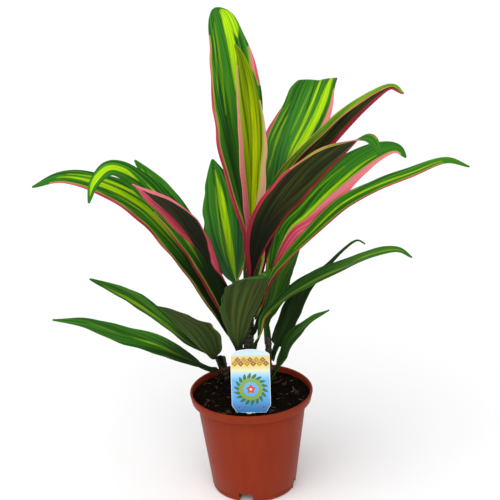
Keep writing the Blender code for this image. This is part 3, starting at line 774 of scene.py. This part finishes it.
LEAVES = {
    # The crown of the middle cane
    "leaf_rolled": Leaf(
        "cane_middle", 232,
        ((4, -1, 262), (6, 4, 292), (9, 8, 338), (11, 11, 384), (9, 14, 423), (3, 18, 458), (-4, 22, 473)),
        width=40, faces=((0.2, -1, 0), (-0.2, -1, 0)), fold=55,
        stripes=((0.15, 0.1, 0.97, 0.15, 8), (0.3, -0.3, 0.9, -0.25, 1.6), (0.2, 0.5, 0.9, 0.5, 1.6)),
        left_pink=(8, 9, 7, 5, 1.5, 0), right_pink=(4, 8, 8, 4, 0, 0), blush=(0.34, -0.15), lime=0.5,
        golden=1.0, dark_to=0.35, dark=0.3),
    "leaf_tallest": Leaf(
        "cane_middle", 224,
        ((1, 24, 258), (1, 30, 285), (-2, 40, 341), (-4, 50, 401), (-9, 60, 452), (-16, 70, 486),
         (-23, 92, 499)), width=50, faces=((0, -1, 0.1), (0.1, -1, 0.4)), fold=16, broadest=0.53,
        point=0.58,
        stripes=((0.4, 0.0, 0.8, 0.14, 4), (0.6, 0.08, 0.99, 0.25, 8), (0.84, 0.6, 0.99, 0.6, 9),
                 (0.55, -0.5, 0.97, -0.55, 1.4), (0.62, -0.75, 0.94, -0.7, 1.2), (0.5, -0.3, 0.8, -0.3, 1)),
        left_pink=(4, 4, 3.5, 2, 1, 0), right_pink=(0, 0, 0, 0, 0, 0, 0, 0, 0, 4.5, 0, 0, 0),
        blush=(0.62, 0.6), lime=0.05, dark_to=0.75, dark=0.5),
    "leaf_bent_top": Leaf(
        "cane_middle", 210,
        ((17, 27, 263), (27, 31, 303), (43, 40, 351), (54, 50, 372), (66, 62, 394), (75, 74, 411),
         (81, 88, 420), (83, 106, 413), (85, 124, 388)), width=58,
        faces=((-0.3, -1, 0), (-0.15, -0.8, 0.4), (0, 0.3, 1)), fold=12, broadest=0.52, point=0.8,
        stripes=((0.42, 0.15, 0.9, 0.78, 8), (0.45, 0.08, 0.9, 0.15, 3), (0.4, -0.45, 0.7, -0.6, 2),
                 (0.5, -0.7, 0.75, -0.75, 1.4), (0.55, -0.15, 0.85, -0.2, 1.2)),
        left_pink=(0, 0, 0, 0, 2, 4, 3, 0, 0, 0, 0), right_pink=(1, 1, 1, 1.5, 2, 4, 7, 4, 0, 0, 0),
        blush=(0.6, 0.42), lime=0.05, bloom_and_sheen=0.7, dark_to=0.6, dark=0.4),
    "leaf_middle_left": Leaf(
        "cane_middle", 202,
        ((-13, 26, 226), (-18, 33, 250), (-21, 38, 277), (-24, 44, 308), (-28, 49, 331), (-32, 54, 349)),
        width=46, faces=((0.1, -1, 0), (0, -1, 0.3)), broadest=0.44,
        stripes=((0.1, 0.15, 0.97, -0.05, 7), (0.2, -0.25, 0.9, -0.3, 1.6)),
        right_pink=(2, 1.6, 1, 0, 0, 0), lime=0.05, bloom_and_sheen=1.0, dark_to=0.6, dark=0.3),
    "leaf_upper_right": Leaf(
        "cane_middle", 206,
        ((18, -6, 258), (30, -14, 321), (54, -28, 362), (81, -38, 391), (102, -46, 414), (136, -55, 441),
         (151, -60, 436)), width=32, faces=((-0.5, 0.8, 0.3), (-0.3, 0.8, 0.5)),
        left_pink=(1, 1, 3, 5.5, 6, 2), right_pink=(0, 0, 0, 1.4, 1, 0), blush=(1.0, 0.5),
        turned=(0, 2, 6, 9, 8, 6, 3), dark_to=0.5),
    "leaf_dark_right": Leaf(
        "cane_middle", 198,
        ((3, -12, 240), (11, -22, 281), (23, -32, 310), (44, -48, 341), (67, -66, 370), (92, -82, 393),
         (114, -96, 404), (125, -106, 390)), width=44,
        faces=((-0.31, 0.93, 0.21), (-0.28, 0.91, 0.31), (-0.26, 0.87, 0.41), (-0.17, 0.62, 0.67),
                 (0.2, -0.5, 1)), left_pink=(2, 2, 2.5, 3, 2.5, 0), right_pink=(5, 6, 4.5, 3.5, 1.5, 0),
        blush=(1.0, 0.8), turned=(0, 0, 0, 0, 0, 0, 0, 1, 4, 9, 40), dark_to=0.6),
    "leaf_edged_right": Leaf(
        "cane_middle", 188,
        ((25, 12, 240), (41, 6, 283), (60, 0, 304), (85, -10, 333), (112, -20, 359), (136, -28, 374),
         (149, -32, 376), (157, -36, 368)), width=38, faces=((0, -0.8, 0.6), (0, -0.7, 0.7)),
        stripes=((0.3, 0.1, 0.92, 0.25, 3.5), (0.3, -0.4, 0.8, -0.4, 1.4)), left_pink=(2, 1.5, 1, 0, 0, 0),
        right_pink=(4, 9, 13, 13, 6, 0), blush=(0.9, 0.52), lime=0.1, dark_to=0.3),
    "leaf_longest_right": Leaf(
        "cane_middle", 172,
        ((22, -7, 234), (39, -16, 262), (64, -28, 292), (94, -44, 326), (125, -58, 347), (156, -70, 362),
         (187, -80, 376), (209, -86, 371)), width=22, faces=((0, -0.5, 0.9), (0, -0.4, 0.9)),
        stripes=((0.3, 0.05, 0.97, 0.0, 3),), left_pink=(3, 2, 1, 0.8, 0, 0),
        right_pink=(3, 3, 1.6, 1.2, 1.6, 0), blush=(0.9, 0.85), lime=0.5, dark_to=0.3),
    "leaf_dark_left": Leaf(
        "cane_middle", 188,
        ((-19, -12, 222), (-28, -24, 249), (-36, -34, 270), (-45, -43, 290), (-55, -53, 308),
         (-66, -63, 326), (-77, -73, 340), (-89, -84, 355), (-102, -94, 368)), width=38,
        faces=((0.4, 0.8, 0.4), (0.3, 0.7, 0.7)), stalk=0.34, broadest=0.62, point=1.5,
        left_pink=(0, 0, 0, 1, 6, 4, 1, 1, 3, 6, 3), right_pink=(0, 0, 0, 0, 0, 1, 9, 13, 13, 8, 3),
        blush=(0.6, 0.9), dark_to=1.0),
    "leaf_back_left": Leaf(
        "cane_middle", 176,
        ((-22, 22, 200), (-34, 28, 218), (-50, 34, 251), (-68, 40, 287), (-89, 46, 323), (-112, 50, 352)),
        width=31, faces=((0.3, -0.8, 0.4), (0.3, -0.8, 0.6)), stalk=0.12,
        stripes=((0.3, -0.1, 0.7, 0.0, 5), (0.6, -0.5, 0.98, -0.2, 2.5), (0.7, 0.3, 0.95, 0.2, 1.2)),
        left_pink=(3, 6, 6, 0.8, 0, 0), right_pink=(1, 1, 1, 0, 0, 0), blush=(0.8, 0.7), lime=0.1,
        bloom_and_sheen=0.2, dark_to=0.4),
    "leaf_arched_left": Leaf(
        "cane_middle", 168,
        ((-23, -2, 201), (-35, -8, 239), (-50, -17, 276), (-68, -28, 310), (-86, -40, 338),
         (-102, -49, 358), (-115, -55, 370), (-128, -60, 373), (-141, -65, 361), (-147, -68, 343)),
        width=32, faces=((0.3, -0.7, 0.6), (0, -0.6, 0.8)), stalk=0.06,
        stripes=((0.3, -0.3, 0.75, -0.3, 3), (0.35, 0.2, 0.75, 0.3, 2.5), (0.74, 0.1, 0.99, 0.1, 6)),
        left_pink=(3, 3, 2, 0.8, 0, 0), right_pink=(1.5, 1.5, 1, 0, 0, 0), blush=(0.9, 0.6), lime=0.15,
        bloom_and_sheen=0.3, dark_to=0.58, dark=0.93),
    "leaf_longest_left": Leaf(
        "cane_middle", 150,
        ((-19, 8, 172), (-32, 4, 207), (-50, 0, 247), (-73, -5, 285), (-102, -12, 321), (-136, -20, 345),
         (-174, -28, 358), (-205, -34, 351)), width=34, faces=((0.3, -0.7, 0.6), (0, -0.6, 0.8)),
        stalk=0.06,
        stripes=((0.3, 0.0, 0.95, 0.05, 6), (0.4, 0.5, 0.93, 0.45, 3), (0.35, -0.4, 0.8, -0.35, 1.6)),
        left_pink=(0, 1, 1, 2.5, 2.5, 0), right_pink=(0, 0, 1, 0, 0, 0), blush=(0.8, 0.7), lime=0.1,
        dark_to=0.6, dark=0.93),
    # An old leaf of the middle cane, in front below the crown
    "leaf_front": Leaf(
        "cane_middle", 132,
        ((-12, -8, 166), (-10, -20, 199), (-4, -34, 228), (3, -50, 249), (10, -66, 263), (17, -80, 267)),
        width=50, faces=((0, 1, 0.2), (-0.4, 0.5, 0.8)), fold=16, broadest=0.6, point=0.45,
        stripes=((0.15, 0.0, 0.9, 0.05, 3), (0.18, -0.35, 0.9, -0.3, 4), (0.2, 0.4, 0.85, 0.35, 3)),
        age=1.0, dark_to=0.3),
    # The left shoot
    "leaf_front_left": Leaf(
        "cane_left", 126,
        ((-40, 20, 139), (-47, 8, 152), (-61, -8, 175), (-74, -24, 197), (-84, -38, 218), (-92, -48, 229)),
        width=60, faces=((0.5, 0.6, 0.5), (0.3, 0.5, 0.8)), fold=40, broadest=0.42, point=1.5,
        stripes=((0.1, 0.0, 0.9, 0.05, 3),), turned=(0, 0, 0, 0, 0, 0, 0, 0, 0, 0, 0, 40), age=1.0),
    "leaf_low_left": Leaf(
        "cane_left", 118,
        ((-42, 46, 131), (-61, 39, 148), (-86, 30, 177), (-115, 24, 205), (-141, 18, 223), (-163, 12, 237)),
        width=18, faces=((0.2, -0.6, 0.8), (0.2, -0.6, 0.8)), fold=18,
        stripes=((0.2, -0.6, 0.97, -0.45, 4), (0.4, 0.2, 0.8, 0.2, 0.8)), lime=0.15, age=0.8, dark_to=0.5,
        dark=0.7),
    "leaf_lowest_left": Leaf(
        "cane_left", 108,
        ((-46, 26, 124), (-70, 24, 139), (-100, 16, 159), (-135, 4, 177), (-169, -8, 196),
         (-200, -18, 205)), width=22, faces=((0.2, -0.8, 0.6), (0, -0.6, 0.8)), fold=18, broadest=0.43,
        point=1.1, stripes=((0.15, -0.05, 0.6, 0.0, 2.6), (0.45, 0.1, 0.9, 0.1, 0.9)), lime=0.15, age=0.6,
        dark_to=0.5),
    # The right shoot
    "leaf_back_right": Leaf(
        "cane_right", 152, ((19, 32, 182), (28, 36, 203), (36, 42, 226), (46, 46, 240), (56, 50, 251)),
        width=27, faces=((-0.2, -1, 0.2), (-0.2, -1, 0.5)), fold=18,
        stripes=((0.2, 0.0, 0.95, 0.1, 2.4), (0.3, -0.55, 0.8, -0.45, 1.5)), lime=0.1, age=1.0, dark_to=1.0,
        dark=0.4),
    # An old leaf of the middle cane, low on the right
    "leaf_low_right": Leaf(
        "cane_middle", 146,
        ((11, -9, 178), (15, -9, 196), (28, -10, 210), (43, -12, 223), (66, -17, 239), (98, -30, 258),
         (126, -44, 274), (147, -52, 280), (161, -56, 273)), width=20,
        faces=((-0.2, -0.4, 0.9), (0, -0.35, 0.95)), fold=18,
        stripes=((0.12, 0.3, 0.78, 0.45, 4.5), (0.7, 0.0, 0.98, 0.0, 3)), right_pink=(1, 1, 0, 0, 0, 0),
        blush=(0.9, 1.0), lime=0.1, age=0.8, dark_to=0.8, dark=0.45),
    # The right shoot again
    "leaf_curled_right": Leaf(
        "cane_right", 134,
        ((37, 26, 166), (47, 32, 186), (61, 38, 208), (88, 48, 232), (106, 54, 247), (118, 58, 253),
         (127, 60, 248)), width=24, faces=((-0.4, -0.7, 0.6), (-0.2, -0.5, 0.9)), fold=18, stalk=0.1,
        broadest=0.25, point=3.5, stripes=((0.05, 0.0, 0.6, 0.0, 1.4),), lime=0.05, age=1.0, dark_to=1.2,
        dark=0.8),
    "leaf_lowest_right": Leaf(
        "cane_right", 112, ((34, 12, 141), (42, 6, 162), (54, -2, 179), (66, -10, 193), (82, -20, 206)),
        width=16, faces=((-0.3, -0.6, 0.7), (-0.2, -0.5, 0.9)), fold=18, broadest=0.38, point=1.3,
        stripes=((0.2, 0.2, 0.9, 0.1, 1.6),), lime=0.2, age=0.7, dark_to=0.9, dark=0.6),
}


def ease(value):
    """Goes smoothly from 0 to 1."""
    value = min(max(value, 0), 1)
    return value * value * (3 - 2 * value)


def smooth_way(points, count):
    """Evenly spaced points along the smooth curve through the given ones."""
    ends = [points[0] * 2 - points[1], *points, points[-1] * 2 - points[-2]]
    curve = []
    for before, start, end, after in zip(ends, ends[1:], ends[2:], ends[3:]):
        handles = start + (end - before) / 6, end - (after - start) / 6
        curve += interpolate_bezier(start, *handles, end, CURVE_POINTS)[:-1]
    curve.append(points[-1])
    reached = [0.0]
    for start, end in zip(curve, curve[1:]):
        reached.append(reached[-1] + (end - start).length)
    even, index = [], 0
    for step in range(count):
        goal = reached[-1] * step / (count - 1)
        while index < len(curve) - 2 and reached[index + 1] < goal:
            index += 1
        share = (goal - reached[index]) / (reached[index + 1] - reached[index])
        even.append(curve[index].lerp(curve[index + 1], min(share, 1)))
    return even


def midrib_way(leaf):
    """The midrib's points: off the cane's side, up along it in the sheath, then the leaf's own way."""
    cane = CANES[leaf.cane]
    axis = cane.axis_at(leaf.height)
    rise = (Vector(cane.top) - Vector(cane.foot)).normalized()
    outward = Vector(leaf.way[0]) - axis
    outward = (outward - rise * outward.dot(rise)).normalized()
    start = axis + outward * (cane.radius / math.cos(SHEATH_FOLD) + CANE_GAP)
    sheath = start + rise * SHEATH_RISE + outward * SHEATH_SPREAD
    return [start * MM, sheath * MM, *(Vector(point) * MM for point in leaf.way)]


def half_width(leaf, along):
    """The blade's half width: a narrow stalk, then a long lance shape."""
    blade = max((along - leaf.stalk) / (1 - leaf.stalk), 0)
    peak = math.log(0.5) / math.log(leaf.broadest)
    swell = math.sin(math.pi * blade ** peak) ** (WIDENING if blade < leaf.broadest else leaf.point)
    stalk = STALK_HALF_WIDTH * (LEAST_STALK + (1 - LEAST_STALK) * leaf.width * MM / BROAD_BLADE)
    narrow = stalk + (TIP_HALF_WIDTH - stalk) * along ** 2
    return narrow + (leaf.width * MM / 2 - narrow) * swell


def face_at(leaf, along):
    """The way the upper face looks at a share of the leaf's length."""
    faces = [Vector(face).normalized() for face in leaf.faces]
    place = along * (len(faces) - 1)
    index = min(int(place), len(faces) - 2)
    return faces[index].lerp(faces[index + 1], ease(place - index))


def stations(leaf):
    """Each row's midrib point, side and up directions, half width, fold, curl and share of full blade."""
    way = smooth_way(midrib_way(leaf), CELLS_ALONG + 1)
    cane_face = (CANES[leaf.cane].axis_at(leaf.height) * MM - way[0]).normalized()
    rows = []
    for step, middle in enumerate(way):
        along = step / CELLS_ALONG
        ahead = (way[min(step + 1, CELLS_ALONG)] - way[max(step - 1, 0)]).normalized()
        face = cane_face.lerp(face_at(leaf, along), ease(along / leaf.stalk))
        up = (face - ahead * face.dot(ahead)).normalized()
        into_blade = ease(along / (leaf.stalk * OPEN_AT))
        fold = SHEATH_FOLD + (STALK_FOLD - SHEATH_FOLD) * ease(along / leaf.stalk)
        fold += (math.radians(leaf.fold) - fold) * into_blade
        curl = MARGIN_CURL * into_blade
        rows.append((middle, ahead.cross(up), up, half_width(leaf, along), fold, curl, into_blade))
    return rows


def stripe_strength(leaf, along, across, half):
    """How much of the lime stripes covers a place on the blade, from 0 to 1."""
    strongest = 0.0
    for start, start_side, end, end_side, width in leaf.stripes:
        share = (along - start) / (end - start)
        if 0 <= share <= 1:
            # It tapers over its first and last third, its edges are soft, and a narrow one is faint
            centre = start_side + (end_side - start_side) * share
            distance = abs(across - centre) * half / MM
            reach = width / 2 * min(ease(share * 3), ease((1 - share) * 3))
            cover = ease((reach - distance) / (0.8 + 0.15 * width) + 0.5) * min(width / 3, 1)
            strongest = max(strongest, cover if reach > 0.2 else 0)
    return strongest


def inside(widths, along, edge):
    """How far a place is inside a marginal band in millimetres, from its distance to the edge."""
    if not widths:
        return NO_BAND
    place = along * (len(widths) - 1)
    index = min(int(place), len(widths) - 2)
    width = widths[index] + (widths[index + 1] - widths[index]) * (place - index)
    return width - edge if width > LEAST_BAND else NO_BAND


def make_leaf(name, leaf, seed):
    """A grid laid out along the midrib and then thickened below, with what its colours need."""
    rows = stations(leaf)
    length = sum((after[0] - before[0]).length for before, after in zip(rows, rows[1:])) / MM
    bpy.ops.object.select_all(action="DESELECT")
    bpy.ops.mesh.primitive_grid_add(x_subdivisions=CELLS_ACROSS, y_subdivisions=CELLS_ALONG, size=2)
    blade = bpy.context.object
    blade.name = name + "_blade"
    veins, marks, tissue, margins = [], [], [], []
    thickness = blade.vertex_groups.new(name="thickness")
    for vertex in blade.data.vertices:
        across, along = vertex.co.x, (vertex.co.y + 1) / 2
        middle, side, up, half, fold, curl, into_blade = rows[round(along * CELLS_ALONG)]
        out, right = abs(across), across > 0
        half *= 1 + EDGE_WANDER * noise.noise((along * 11, seed, 5 * right)) * out ** 2 * into_blade
        wave = math.sin(2 * math.pi * RIPPLES * along + RIPPLE_SHIFT * right)
        ripple = RIPPLE * wave * out ** 2 * into_blade * (1 - along ** 3)
        tilt = fold + curl * out
        lift = math.sin(tilt) * out * half + ripple
        vertex.co = middle + side * math.cos(tilt) * across * half + up * lift
        drift = out * leaf.width / 2 - VEIN_SLANT * along * length
        veins.append((drift, along * length, seed + 0.5 * right))
        edge = (1 - out) * half / MM
        pink = inside(leaf.right_pink if right else leaf.left_pink, along, edge)
        pink -= PINK_HELD_BACK * (1 - ease(along / PINK_FROM))
        blush = leaf.blush[right] + BLUSH_CHANGE * (0.5 - along)
        marks.append((stripe_strength(leaf, along, across, half), pink, blush))
        tissue.append((leaf.lime, leaf.age, leaf.bloom_and_sheen * (1 - ease(along * BLOOM_AND_SHEEN_FADE))))
        turned = inside(leaf.turned if right else (), along, edge)
        # Darker towards the cane: the stalk's own dark green, with painted shade of the crown over it
        stalk_dark_and_shade = leaf.dark * (1 - ease(along / leaf.dark_to * 2 - 1))
        margins.append((turned, stalk_dark_and_shade, leaf.golden))
        ridge = math.exp(-(across * half / RIB_HALF_WIDTH) ** 2)
        rib = RIB_SHARE * ridge * (1 - along) ** 0.8 * into_blade
        stalk = 1 - ease(along / (leaf.stalk * THIN_AT))
        base = BLADE_THICKNESS + (STALK_THICKNESS - BLADE_THICKNESS) * stalk
        thickness.add([vertex.index], min(base / THICKEST + rib, 1), "REPLACE")
    attributes = {"veins": veins, "marks": marks, "tissue": tissue, "margins": margins}
    for attribute, values in attributes.items():
        layer = blade.data.attributes.new(attribute, "FLOAT_VECTOR", "POINT")
        layer.data.foreach_set("vector", [number for value in values for number in value])
    blade.data.materials.append(leaf_top)
    blade.data.materials.append(leaf_underside)
    modifier = blade.modifiers.new("thickness", "SOLIDIFY")
    modifier.thickness = THICKEST
    modifier.offset = -1
    modifier.vertex_group = "thickness"
    modifier.material_offset = 1
    modifier.material_offset_rim = 0
    bpy.ops.object.modifier_apply(modifier=modifier.name)
    blade.data.shade_smooth()
    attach(blade, "root")
    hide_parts(name)


SMOOTH = {"interpolation_type": "SMOOTHSTEP"}


def streaks(material, across_mm, along_mm, detail):
    """Uneven streaks that follow the veins, from their real spacing across and their length."""
    veins = add(material, "Attribute", attribute_name="veins").outputs["Vector"]
    scaled = add(material, "Mapping", {"Vector": veins, "Scale": (1 / across_mm, 1 / along_mm, 17)})
    return add(material, "TexNoise", {"Vector": scaled, "Scale": 1.0, "Detail": detail})


def leaf_values(material, attribute):
    """The three values that a blade carries under one name."""
    held = add(material, "Attribute", attribute_name=attribute).outputs["Vector"]
    return add(material, "SeparateXYZ", {"Vector": held}).outputs


def pink_edge(material, pink_depth, blush, middling):
    """The pink edge's wandering depth in mm, and its colour: cream at its least red, crimson at its most."""
    wander = add(material, "Math", {0: middling, 1: 2.0, 2: -1.0}, operation="MULTIPLY_ADD")
    depth = add(material, "Math", {0: pink_depth, 1: wander}, operation="ADD")
    uneven = add(material, "Math", {0: middling, 1: 0.9, 2: -0.45}, operation="MULTIPLY_ADD")
    redness = add(material, "Math", {0: blush, 1: uneven}, operation="ADD")
    ramp = add(material, "ValToRGB", {"Fac": redness})
    colour_ramp(ramp, ((0.0, "#cca47c"), (0.22, "#d48c74"), (0.38, "#e87888"), (0.55, "#d85a6e"),
                       (0.72, "#bc3a4e"), (0.95, "#8a1e2e")))
    return depth, ramp


# A leaf's upper side: a waxy cuticle over green tissue, streaked along its veins where the tissue
# has less green. Streaks are about 3 to 5 mm wide, veins 1 mm apart, and the edge is pink.
leaf_top, shader = new_material("waxy striped leaf top", Roughness=0.4, Specular_IOR_Level=0.06)
stripe, pink_depth, blush = leaf_values(leaf_top, "marks")
lime_share, age, bloom_and_sheen = leaf_values(leaf_top, "tissue")
_, base, golden = leaf_values(leaf_top, "margins")
broad = streaks(leaf_top, 5, 420, 1.0)
middling = streaks(leaf_top, 2.6, 260, 1.0)
fine = streaks(leaf_top, 0.9, 160, 1.0)
depth, edge = pink_edge(leaf_top, pink_depth, blush, middling)

# Deep and mid green alternate in streaks, and the veins between are a little lighter
deep = add(leaf_top, "MapRange", {"Value": middling, "From Min": 0.34, "From Max": 0.66}, **SMOOTH)
young = add(leaf_top, "MixRGB", {"Fac": deep, "Color1": "#184610", "Color2": "#387c20"})
old = add(leaf_top, "MixRGB", {"Fac": deep, "Color1": "#1c4214", "Color2": "#426f2c"})
olive = add(leaf_top, "MixRGB", {"Fac": deep, "Color1": "#4f680c", "Color2": "#86a010"})
green = add(leaf_top, "MixRGB", {"Fac": age, "Color1": young, "Color2": old})
veined = add(leaf_top, "MapRange", {
    "Value": fine, "From Min": 0.4, "From Max": 0.75, "To Max": 0.35}, **SMOOTH)
# Blue-white towards the stalk: partly the leaf's bloom, partly a painted sheen
bloom_and_sheen_share = add(leaf_top, "Math", {0: bloom_and_sheen, 1: 0.35}, operation="MULTIPLY")

# Lime streaks: the listed ones, and more at random on leaves that have a share of them
limit = add(leaf_top, "Math", {0: lime_share, 1: -0.42, 2: 0.9}, operation="MULTIPLY_ADD")
excess = add(leaf_top, "Math", {0: broad, 1: limit}, operation="SUBTRACT")
chance = add(leaf_top, "MapRange", {
    "Value": excess, "From Min": -0.1, "From Max": 0.12, "To Max": 0.8}, **SMOOTH)
patchy = add(leaf_top, "MapRange", {
    "Value": fine, "From Min": 0.2, "From Max": 0.55, "To Min": 0.7}, **SMOOTH)
placed = add(leaf_top, "Math", {0: stripe, 1: patchy}, operation="MULTIPLY")
lime = add(leaf_top, "Math", {0: chance, 1: placed}, operation="MAXIMUM")
bright = add(leaf_top, "MapRange", {"Value": fine, "From Min": 0.3, "From Max": 0.7}, **SMOOTH)
fresh = add(leaf_top, "MixRGB", {"Fac": bright, "Color1": "#8cbe06", "Color2": "#b6e40c"})
stale = add(leaf_top, "MixRGB", {"Fac": bright, "Color1": "#4f8416", "Color2": "#7cab24"})
yellow = add(leaf_top, "MixRGB", {"Fac": bright, "Color1": "#a4b80c", "Color2": "#c4d010"})
lime_green = add(leaf_top, "MixRGB", {"Fac": age, "Color1": fresh, "Color2": stale})
lime_green = add(leaf_top, "MixRGB", {"Fac": golden, "Color1": lime_green, "Color2": yellow})

# Towards the cane every blade is blackish green: the stalk's own dark colour, with painted shade of
# the crown over it in two layers. The pink edge wanders by about a millimetre, and a thin yellow-green
# line lies inside it.
near = add(leaf_top, "MapRange", {
    "Value": depth, "From Min": -2.0, "From Max": -0.6, "To Max": 0.6}, **SMOOTH)
edged = add(leaf_top, "MapRange", {"Value": depth, "From Min": -0.5, "From Max": 0.5}, **SMOOTH)
deeper_stalk_and_shade = add(leaf_top, "Math", {0: base, 1: 0.3}, operation="MULTIPLY")
for amount, colour in ((veined, "#52a41a"), (bloom_and_sheen_share, "#4f8a68"), (golden, olive), (lime, lime_green),
                       (base, "#161e10"), (near, "#a6b83c"), (edged, edge), (deeper_stalk_and_shade, "#1c2414")):
    green = add(leaf_top, "MixRGB", {"Fac": amount, "Color1": green, "Color2": colour})
relief = add(leaf_top, "Bump", {"Strength": 0.35, "Distance": 0.25 * MM, "Height": fine})
plug(leaf_top, shader, {"Base Color": green, "Normal": relief})

# The underside is duller and very dark, olive to maroon, with faint paler veins and a crimson edge.
# Where a margin is drawn as turned over, the upper face's green shows, with a salmon line beside it.
leaf_underside, shader = new_material("dark dull leaf underside", Roughness=0.6, Specular_IOR_Level=0.06)
stripe, pink_depth, blush = leaf_values(leaf_underside, "marks")
_, age, _ = leaf_values(leaf_underside, "tissue")
turned, base, _ = leaf_values(leaf_underside, "margins")
coarse = streaks(leaf_underside, 7, 70, 1.0)
middling = streaks(leaf_underside, 2.6, 100, 1.5)
fine = streaks(leaf_underside, 0.9, 60, 1.0)
depth, edge = pink_edge(leaf_underside, pink_depth, blush, middling)
light = add(leaf_underside, "MapRange", {"Value": middling, "From Min": 0.35, "From Max": 0.75}, **SMOOTH)
young = add(leaf_underside, "MixRGB", {"Fac": light, "Color1": "#0d1008", "Color2": "#3c4a1c"})
old = add(leaf_underside, "MixRGB", {"Fac": light, "Color1": "#26361a", "Color2": "#3e5624"})
face = add(leaf_underside, "MixRGB", {"Fac": light, "Color1": "#3f8420", "Color2": "#98c41c"})
below = add(leaf_underside, "MixRGB", {"Fac": age, "Color1": young, "Color2": old})
maroon = add(leaf_underside, "MapRange", {
    "Value": coarse, "From Min": 0.45, "From Max": 0.75, "To Max": 0.35}, **SMOOTH)
ribbed = add(leaf_underside, "Math", {0: fine, 1: 0.12}, operation="MULTIPLY")
shown = add(leaf_underside, "Math", {0: stripe, 1: 0.2}, operation="MULTIPLY")
edged = add(leaf_underside, "MapRange", {"Value": depth, "From Min": -0.6, "From Max": 0.6}, **SMOOTH)
deeper_stalk_and_shade = add(leaf_underside, "Math", {0: base, 1: 0.3}, operation="MULTIPLY")
line = add(leaf_underside, "MapRange", {"Value": turned, "From Min": -1.8, "From Max": -1.0}, **SMOOTH)
over = add(leaf_underside, "MapRange", {"Value": turned, "From Min": -0.4, "From Max": 0.4}, **SMOOTH)
# Towards the cane it goes blackish too: the stalk's own dark colour, with painted shade of the crown over it
# in two layers.
for amount, colour in ((maroon, "#3c1a14"), (ribbed, "#4c5a1c"), (base, "#12140c"), (shown, "#6d7a2a"),
                       (edged, edge), (deeper_stalk_and_shade, "#12140e"), (line, "#d9806a"), (over, face)):
    below = add(leaf_underside, "MixRGB", {"Fac": amount, "Color1": below, "Color2": colour})
relief = add(leaf_underside, "Bump", {"Strength": 0.3, "Distance": 0.25 * MM, "Height": fine})
plug(leaf_underside, shader, {"Base Color": below, "Normal": relief})

for number, (name, leaf) in enumerate(LEAVES.items()):
    make_leaf(name, leaf, number * SEED_STEP)
